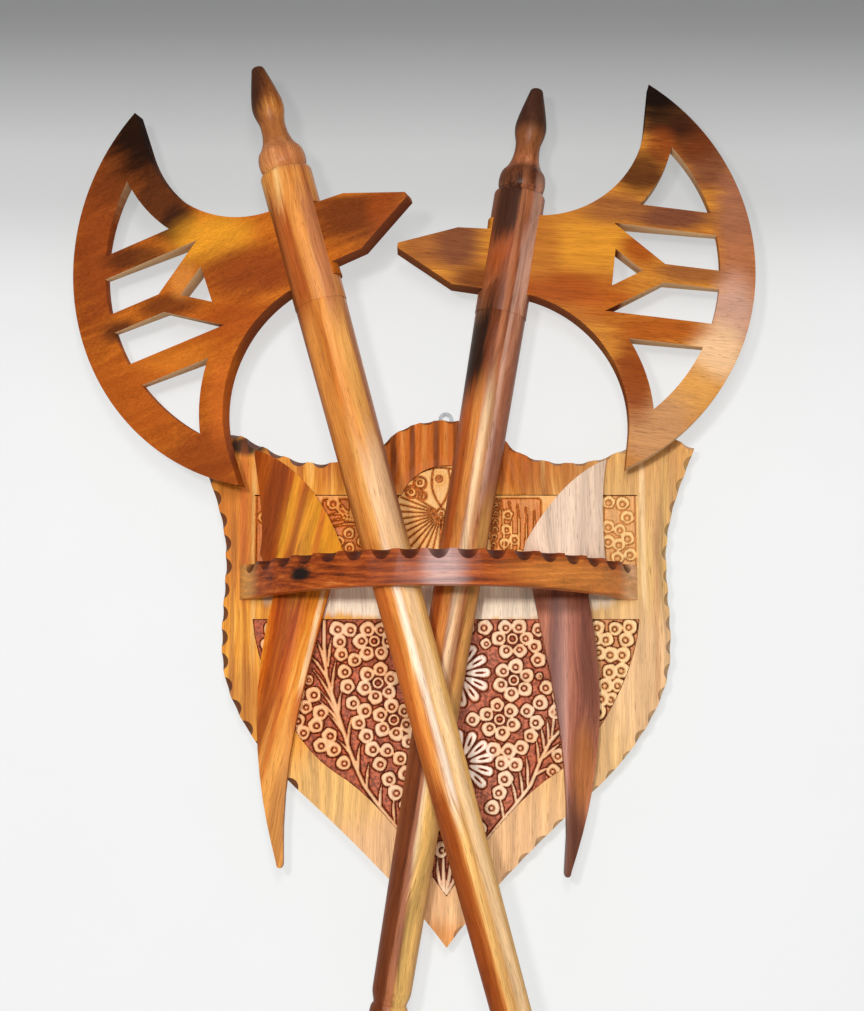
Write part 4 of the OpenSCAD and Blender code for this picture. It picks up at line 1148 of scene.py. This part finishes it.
# The stretch of the shield's arch along its grain, in millimetres over the eye
ARCH = (-44, 20)
shield_wood = wood(
    "shield wood", UP, [(156, 80, 14), (216, 140, 40), (232, 166, 66), (244, 200, 122)],
    # The board's edges and the walls of its panels are partly scorched, partly darkened with painted shade
    figure=0.9, rough=0.48, burn_and_shade=0.9, grain=1.3,
    patches=[
        *patches_at(
            -18, 60,
            (112, -170, 66, 170, WHEAT, 0.8), (120, -165, 30, 45, SAND, 0.7),
            (-124, -65, 16, 40, AMBER, 0.6), (-120, -175, 14, 20, OCHRE, 0.5),
            (20, -285, 150, 70, SAND, 0.85), (134, -40, 30, 40, TAN, 0.4),
            (-66, -224, 34, 22, STRAW, 0.7), (0, -22, 80, 34, SIENNA, 0.9, 0.35),
            (-118, -50, 26, 50, AMBER, 0.6), (60, -40, 24, 16, OCHRE, 0.5),
            (-1, -316, 24, 14, ORANGE, 0.7)),
        Patch((-120, -18, -20), (12, 40, 6), SOOT, 0.95, 0.4),
        Patch((0, -18, -112), (97, 12, 14), IVORY, 0.95, 0.15)],
    streaks=streaks_in(
        (-38, 1.5, ARCH, HONEY, 0.7), (-32, 1.6, ARCH, WALNUT, 0.75), (-26, 1.5, ARCH, ORANGE, 0.7),
        (-20, 1.8, ARCH, WALNUT, 0.8), (-13, 1.6, ARCH, ORANGE, 0.6), (-6, 1.6, ARCH, WALNUT, 0.75),
        (0, 1.4, ARCH, ORANGE, 0.6), (6, 1.8, ARCH, WALNUT, 0.7), (34, 1.4, ARCH, BRICK, 0.6),
        (48, 1.2, ARCH, COPPER, 0.6), (58, 1.4, ARCH, STRAW, 0.6), (72, 1.4, ARCH, OCHRE, 0.6),
        (-70, 1.4, ARCH, BRICK, 0.7), (-88, 1.8, ARCH, COPPER, 0.7),
        (-121, 2.2, (-110, -25), SIENNA, 0.7), (-127, 1.6, (-190, -60), OCHRE, 0.7),
        (-115, 1.4, (-150, -30), STRAW, 0.6), (118, 1.6, (-120, -20), CREAM, 0.6),
        (125, 1.4, (-180, -60), TAN, 0.6), (131, 2.0, (-120, -10), STRAW, 0.6)))
strap_wood = wood(
    "strap wood", RIGHT, [(66, 24, 6), (128, 52, 12), (168, 78, 24), (202, 124, 56)],
    coat=0.18, gloss=0.1, rough=0.42, side=UP, seed=9.0, grain=2.6,
    # The cut faces on the strap's top face up: partly burnt, partly dark with painted shade
    sides=((UP, BURNT_AND_SHADED_TOP, 0.9, None),),
    patches=[
        Patch((-84, -60, -104), (6, 40, 4), SOOT, 1.0, 0.4),
        Patch((-104, -50, -88), (40, 60, 6), CHARRED, 0.8),
        # Painted highlights: a gleam down the middle of the strap, and light on both of its rounded ends
        Patch((-1, -84, -106), (11, 60, 24), PAINTED_STRAP_HIGHLIGHT, 0.6, 0.6),
        Patch((-122, -30, -106), (9, 60, 20), HONEY, 0.8),
        Patch((114, -30, -108), (10, 60, 20), SAND, 0.85),
        Patch((78, -60, -106), (44, 60, 9), ORANGE, 0.7)])

# Lengths of the left handle along its grain, over the eye: by the head, over the shield, under the strap
LEFT_TOP, LEFT_MIDDLE, LEFT_FOOT = (46, 126), (-95, 46), (-420, -95)
left_handle_wood = wood(
    "left handle wood", LEFT_AXIS,
    [(136, 62, 18), (188, 110, 42), (208, 138, 66), (226, 176, 110)],
    seed=31.0, coat=0.12, gloss=0.05, origin=on_axis("left_shaft", LEFT_AXIS),
    patches=patches_at(
        -62, 60,
        (-109, 194, 20, 18, WALNUT, 0.8), (-106, 162, 26, 12, CHESTNUT, 0.8),
        (-117, 188, 9, 26, CHARRED, 0.9), (-98, 145, 30, 10, TEAK, 0.7)),
    # Painted highlights along the shaft: the pale streaks 1.8 mm right of its middle and the SAND streaks;
    # painted shade: the dark CEDAR streak at the right edge
    streaks=streaks_in(
        (-12.8, 2.4, LEFT_TOP, WALNUT, 0.9), (-7.0, 4.2, LEFT_TOP, BRICK, 0.9),
        (-0.6, 2.4, LEFT_TOP, ORANGE, 0.7), (3.0, 2.0, LEFT_TOP, ORANGE, 0.7), (9.5, 4.5, LEFT_TOP, TEAK),
        (-13.6, 2.6, LEFT_MIDDLE, RUST, 0.85), (-7.5, 4.0, LEFT_MIDDLE, ORANGE, 0.75),
        (-1.5, 2.0, (-20, 46), AMBER, 0.7), (-1.2, 2.6, (-95, -20), HONEY, 0.7),
        (4.0, 3.0, (-40, 46), ORANGE, 0.7), (4.0, 3.4, (-95, -40), SAND, 0.75),
        (9.5, 4.2, (-30, 46), HONEY, 0.75), (9.5, 4.2, (-95, -30), SAND),
        (14.8, 1.4, LEFT_MIDDLE, CEDAR, 0.7), (-8.4, 5.6, (-225, -95), SIENNA, 0.85),
        (-7.6, 6.2, (-420, -225), BRICK, 0.92), (-3.2, 2.0, (-225, -95), ORANGE, 0.7),
        (1.8, 2.0, (-250, -95), IVORY, 0.75, 18.0, 0.9), (1.8, 1.8, (-420, -250), STRAW, 0.75),
        (4.6, 1.2, LEFT_FOOT, STRAW, 0.5), (8.4, 3.4, LEFT_FOOT, CREAM, 0.75),
        (13.2, 2.0, LEFT_FOOT, STRAW, 0.7)))
left_head_wood = wood(
    "left head wood", (0.93, 0.0, 0.36),
    [(92, 36, 10), (156, 76, 22), (192, 106, 32), (212, 142, 60)],
    figure=0.35, seed=12.0, side=UP, grain=1.4, gloss=0.0,
    # The undersides of the outer struts are pale with painted light
    sides=((DOWN, BROWN_CUT, 0.75, None), (DOWN, PAINTED_LIT_CUT, 0.7, -134.0)),
    patches=patches_at(
        -56, 60,
        (-212, 97, 22, 62, RUST, 0.9), (-191, 3, 44, 30, COPPER, 0.8), (-192, 144, 28, 28, WALNUT, 0.85),
        (-170, 124, 16, 22, UMBER, 0.9), (-160, 108, 11, 13, CHARRED, 0.9),
        (-184, 173, 24, 32, SOOT, 0.97), (-141, -35, 26, 26, RUST, 0.85), (-132, 2, 9, 26, SIENNA, 0.7),
        (-139, 97, 24, 15, GOLD, 0.85), (-112, 77, 34, 15, RUST, 0.9), (-129, 47, 28, 13, BRICK, 0.8),
        (-185, 90, 22, 7, UMBER, 0.8), (-166, 59, 18, 7, WALNUT, 0.85), (-196, 47, 12, 7, UMBER, 0.85),
        (-157, 74, 8, 10, ORANGE, 0.7), (-163, 26, 22, 7, AMBER, 0.7), (-50, 106, 36, 18, WALNUT, 0.95),
        (-57, 122, 30, 5, AMBER, 0.85), (-37, 108, 10, 14, BRICK, 0.6)))

# Lengths of the right handle in the same way
RIGHT_TOP, RIGHT_MIDDLE, RIGHT_FOOT = (8, 140), (-178, 8), (-420, -178)
right_handle_wood = wood(
    "right handle wood", RIGHT_AXIS,
    [(72, 30, 18), (140, 74, 42), (176, 106, 66), (210, 152, 106)],
    seed=57.0, coat=0.14, origin=on_axis("right_shaft", RIGHT_AXIS),
    patches=patches_at(
        -36, 60,
        (53, 185, 24, 26, CHARRED, 0.95), (49, 164, 12, 10, CHESTNUT, 0.5), (46, 142, 22, 7, UMBER, 0.8)),
    streaks=streaks_in(
        # Painted highlights along the shaft: the cream streaks just left of the middle and the pink ones
        # right of it
        (-7.0, 9.0, (100, 140), CHARRED, 0.95, 8), (-7.0, 7.0, (78, 100), BRICK, 0.8, 12),
        (-8.0, 7.0, (56, 78), WALNUT, 0.85, 12), (-12.0, 5.6, (6, 62), SOOT, 0.97, 14),
        (-5.0, 3.0, (14, 60), WALNUT, 0.85, 14), (-0.5, 1.6, RIGHT_TOP, TEAK, 0.7),
        (4.4, 1.7, (-60, 100), PAINTED_PINK_HIGHLIGHT, 0.75), (9.0, 3.2, (60, 140), PAINTED_PINK_HIGHLIGHT, 0.75),
        (9.5, 4.0, (8, 60), CEDAR, 0.75), (-11.5, 2.4, RIGHT_MIDDLE, COPPER, 0.85),
        (-6.8, 2.4, RIGHT_MIDDLE, ORANGE), (-1.3, 2.2, RIGHT_MIDDLE, CREAM, 0.65, 18.0, 0.8),
        (1.8, 1.2, RIGHT_MIDDLE, TAN, 0.7), (8.2, 3.0, (-60, 8), CEDAR), (8.0, 3.4, (-178, -60), HONEY),
        (13.4, 1.8, RIGHT_MIDDLE, CHESTNUT, 0.7), (-9.0, 4.4, RIGHT_FOOT, WALNUT, 0.9),
        (-3.8, 1.8, RIGHT_FOOT, TEAK, 0.7), (-1.0, 1.8, (-280, -178), CREAM, 0.85),
        (3.0, 3.8, RIGHT_FOOT, SUNLIT), (9.5, 4.0, RIGHT_FOOT, STRAW, 0.7)))
right_head_wood = wood(
    "right head wood", (0.994, 0.0, -0.1),
    [(98, 46, 16), (168, 96, 38), (202, 132, 48), (220, 164, 90)],
    figure=0.35, seed=80.0, side=UP, grain=1.4, gloss=0.0,
    # The undersides of the outer struts are pale with painted light
    sides=((DOWN, BROWN_CUT, 0.75, None), (DOWN, PAINTED_LIT_CUT, 0.7, 105.0)),
    patches=patches_at(
        -36, 60,
        (159, 154, 16, 20, PLUM, 0.85), (149, 167, 16, 16, WALNUT, 0.9),
        (136, 180, 20, 16, CHARRED, 0.92), (125, 197, 20, 20, SOOT, 1), (131, 159, 9, 12, RUST, 0.8),
        (118, 144, 16, 14, UMBER, 0.9), (177, 119, 13, 30, CEDAR, 0.85), (177, 81, 12, 24, TEAK, 0.85),
        # The pink and sand patches on the rim low on the right are a painted highlight
        (172, 57, 14, 22, PAINTED_PINK_HIGHLIGHT, 0.9), (162, 32, 16, 18, SAND, 0.95), (146, 9, 18, 16, HONEY, 0.85),
        (125, -15, 22, 24, TAN, 0.85), (112, 18, 12, 26, RUST, 0.9), (88, 97, 26, 17, GOLD, 0.5),
        (101, 121, 20, 9, CHESTNUT, 0.85), (70, 70, 34, 12, BRICK, 0.9), (57, 97, 12, 20, OCHRE, 0.7),
        (98, 62, 22, 10, COPPER, 0.75), (137, 116, 24, 7, PLUM, 0.9), (147, 81, 18, 7, CHESTNUT, 0.85),
        (128, 46, 26, 8, COPPER, 0.85), (117, 96, 12, 9, BRICK, 0.85), (-13, 101, 14, 16, CHESTNUT, 0.8),
        (7, 100, 14, 18, PLUM, 0.85), (19, 77, 14, 8, WALNUT, 0.85)))

left_dagger_wood = wood(
    "left dagger wood", (0.22, 0, 1),
    [(126, 42, 8), (184, 84, 18), (216, 126, 32), (228, 164, 76)],
    figure=1.1, seed=20.0, rough=0.46, origin=(-86, 0, -160),
    patches=patches_at(
        -24, 30,
        (-110, -52, 22, 46, BRICK, 0.85), (-74, -74, 20, 28, GOLD, 0.85), (-98, -245, 24, 60, HONEY, 0.7)),
    streaks=streaks_in(
        (-16, 3.5, (-60, 60), BRICK, 0.8), (-40, 6, (55, 130), RUST, 0.8),
        (-28, 2.2, (45, 125), GOLD, 0.75), (-22, 1.8, (45, 125), COPPER, 0.7),
        (-11, 5.5, (45, 110), GOLD, 0.75), (-8, 1.8, (-60, 120), SIENNA, 0.7),
        # The thin cream streak below the strap is a painted highlight along the blade's edge
        (2.4, 1.3, (-4, 56), CREAM, 0.7)))
right_dagger_wood = wood(
    "right dagger wood", UP,
    [(92, 40, 26), (146, 80, 58), (176, 108, 80), (204, 144, 112)],
    figure=0.8, seed=45.0, rough=0.46, coat=0.25, gloss=0.15,
    patches=patches_at(
        -24, 30,
        # The pale patches high on the blade are painted glare
        (74, -52, 46, 46, PAINTED_GLARE, 0.95, 0.2), (67, -116, 32, 7, WALNUT, 0.75),
        (85, -150, 7, 50, PLUM, 0.75), (64, -168, 5, 60, PLUM, 0.6), (71, -263, 12, 34, UMBER, 0.85),
        (80, -214, 7, 24, OCHRE, 0.7), (92, -42, 8, 30, PAINTED_GLARE, 0.6)))

peg_wood = wood("peg wood", BACK, [(96, 54, 28), (150, 94, 52), (178, 122, 74)], coat=0.1)
# The first tone of each, in the cuts and in the moats about raised work, is painted shade
carving_wood = carved_wood("carving wood", linear(104, 44, 28), linear(176, 98, 70), linear(206, 146, 110),
                           linear(240, 206, 170), linear(250, 220, 186), DAISIES)
fan_wood = carved_wood("fan wood", linear(116, 54, 20), linear(178, 104, 46), linear(212, 138, 72),
                       linear(238, 184, 112), linear(242, 206, 156), ())
steel = plated_steel("plated steel")

# Pieces

# A carved slab starts a hair before its panel's ground and is let a little way into the board
SLAB_LIFT, SLAB_SUNK = 0.02, 1.0
# How far the edges of each kind of piece are eased
STRAP_EDGE, TURNED_EDGE, HEAD_EDGE, DAGGER_EDGE = 0.5, 0.15, 0.7, 1.0

work_board(shield_wood)
ground_y = FRONT_Y + PANEL_DEPTH
panels = sorted(loops_at("shield_board", ground_y), key=lambda ring: ring[:, 1].mean())
for name, ring, carve, material in (("lower_carving", panels[0], carve_lower, carving_wood),
                                    ("upper_carving", panels[-1], carve_upper, fan_wood)):
    mesh = carve(ring).solid(name, material, ground_y - SLAB_LIFT, ground_y + SLAB_SUNK)
    new_piece(name, mesh, body="shield")

dressed("strap", strap_wood, STRAP_EDGE)
for side, handle, head, dagger in (("left", left_handle_wood, left_head_wood, left_dagger_wood),
                                   ("right", right_handle_wood, right_head_wood, right_dagger_wood)):
    dressed(side + "_handle_top", handle, TURNED_EDGE)
    dressed(side + "_shaft", handle, TURNED_EDGE)
    dressed(side + "_axe_head", head, HEAD_EDGE, flat=True)
    dressed(side + "_dagger", dagger, DAGGER_EDGE)
for node, material in (("dagger_pegs", peg_wood), ("left_head_peg", peg_wood), ("right_head_peg", peg_wood),
                       ("strap_screws", steel), ("hanging_plate", steel), ("hanging_plate_screws", steel)):
    frame["nodes"][node].data.materials.clear()
    frame["nodes"][node].data.materials.append(material)


# Wall, floor, light and camera

# Grey levels of the wall from WALL_LOW to WALL_HIGH (metres over the hanging eye): pale low down, greyer
# towards the top with painted shade
WALL_LOW, WALL_HIGH = -0.05, 0.27
WALL_TONES_AND_SHADE = ((0.0, 243), (0.2, 241), (0.32, 238), (0.4, 235), (0.48, 228), (0.54, 218), (0.6, 208),
              (0.7, 203), (0.81, 181), (0.95, 147), (1.0, 139))
# How much of the wall's tone answers to the lamps, how much of it clouds, and how much it glows by itself
WALL_LIT, WALL_CLOUDS, CLOUDS_SCALE, WALL_GLOW, WALL_ROUGH = 0.26, 0.02, 0.02, 0.69, 0.9
FLOOR_TONE, FLOOR_ROUGH = linear(238, 238, 236), 0.8


def stage_plane(name, size, place, turn, material):
    """A flat piece of the room that is no part of the object."""
    bpy.ops.mesh.primitive_plane_add(size=size, location=place, rotation=turn)
    plane = bpy.context.active_object
    plane.name = name
    plane.data.materials.append(material)


def wall_paint():
    """Pale wall, greyer towards the top with painted shade; seen from the front only, so the back stays in
    view.
    """
    f = Finish("wall paint")
    height = f.dot(f.node("TexCoord", out="Object"), BACK)
    stops = [(share, linear(tone, tone + 1, tone)) for share, tone in WALL_TONES_AND_SHADE]
    share = ((height - WALL_LOW) / (WALL_HIGH - WALL_LOW)).clamped()
    tone = f.node("ValToRGB", {"stops": stops}, {"Fac": share})
    lit = f.grey(f.noise(f.place(), CLOUDS_SCALE, detail=3.0) * WALL_CLOUDS + WALL_LIT)
    f.feed("Base Color", f.times(tone, lit))
    f.feed("Roughness", WALL_ROUGH)
    f.feed("Specular IOR Level", 0.0)
    f.feed("Emission Color", tone)
    f.feed("Emission Strength", WALL_GLOW)
    camera_ray, glossy_ray, clear_ray = (f.node("LightPath", out="Is " + kind + " Ray")
                                         for kind in ("Camera", "Glossy", "Transmission"))
    front = 1.0 - f.node("NewGeometry", out="Backfacing")
    shown = (camera_ray + glossy_ray + clear_ray).clamped() * front
    clear = f.node("BsdfTransparent")
    blend = f.node("MixShader", {}, {0: shown, 1: clear, 2: Value(f.tree, f.shader.outputs[0])})
    f.tree.links.new(blend.socket, f.output.inputs["Surface"])
    return f.material


def floor_paint():
    """Pale, even floor."""
    f = Finish("floor paint")
    f.feed("Base Color", FLOOR_TONE)
    f.feed("Roughness", FLOOR_ROUGH)
    return f.material


def softbox(name, place, size, power):
    """A lamp that faces the middle of the object."""
    lamp = bpy.data.lights.new(name, "AREA")
    lamp.shape = "RECTANGLE"
    lamp.size, lamp.size_y = size
    lamp.energy = power
    lamp_object = bpy.data.objects.new(name, lamp)
    lamp_object.location = place
    lamp_object.rotation_euler = (Vector(MIDDLE) - Vector(place)).to_track_quat("-Z", "Y").to_euler()
    bpy.context.scene.collection.objects.link(lamp_object)


# Sizes and places of the room in metres
MIDDLE = (0.0, -0.04, -0.06)
WALL_SIZE, WALL_Y = 6.0, 0.004
FLOOR_SIZE, FLOOR_Z = 8.0, -0.95
stage_plane("wall", WALL_SIZE, (0, WALL_Y, 0), (math.radians(90), 0, 0), wall_paint())
stage_plane("floor", FLOOR_SIZE, (0, 0, FLOOR_Z), (0, 0, 0), floor_paint())
softbox("key light", (-0.2, -1.2, -0.1), (0.08, 0.08), 7.0)
softbox("front light", (0.02, -1.3, 0.05), (0.14, 0.3), 6.0)
softbox("back light", (0.6, 1.8, 1.2), (1.5, 1.5), 22.0)

ROOM_TONE, ROOM_LIGHT = (0.93, 0.95, 0.97, 1.0), 0.38
world = bpy.data.worlds.new("room")
bpy.context.scene.world = world
world.use_nodes = True
background = world.node_tree.nodes["Background"]
background.inputs["Color"].default_value = ROOM_TONE
background.inputs["Strength"].default_value = ROOM_LIGHT

# The camera stands low before the wall and looks up a little, as the photograph's does
CAMERA_PLACE = (-8.4, -1199.8, -264.9)
CAMERA_RISE = math.radians(10)
FOCAL_PIXELS, LONG_SIDE_PIXELS = 2000.0, 1011.0
SENSOR_WIDTH = 36.0
camera = bpy.data.cameras.new("camera")
camera.sensor_width = SENSOR_WIDTH
camera.lens = FOCAL_PIXELS / LONG_SIDE_PIXELS * SENSOR_WIDTH
camera_object = bpy.data.objects.new("camera", camera)
camera_object.location = Vector(CAMERA_PLACE) * MM
camera_object.rotation_euler = (math.radians(90) + CAMERA_RISE, 0, 0)
bpy.context.scene.collection.objects.link(camera_object)
bpy.context.scene.camera = camera_object
bpy.context.scene.view_settings.view_transform = "Standard"
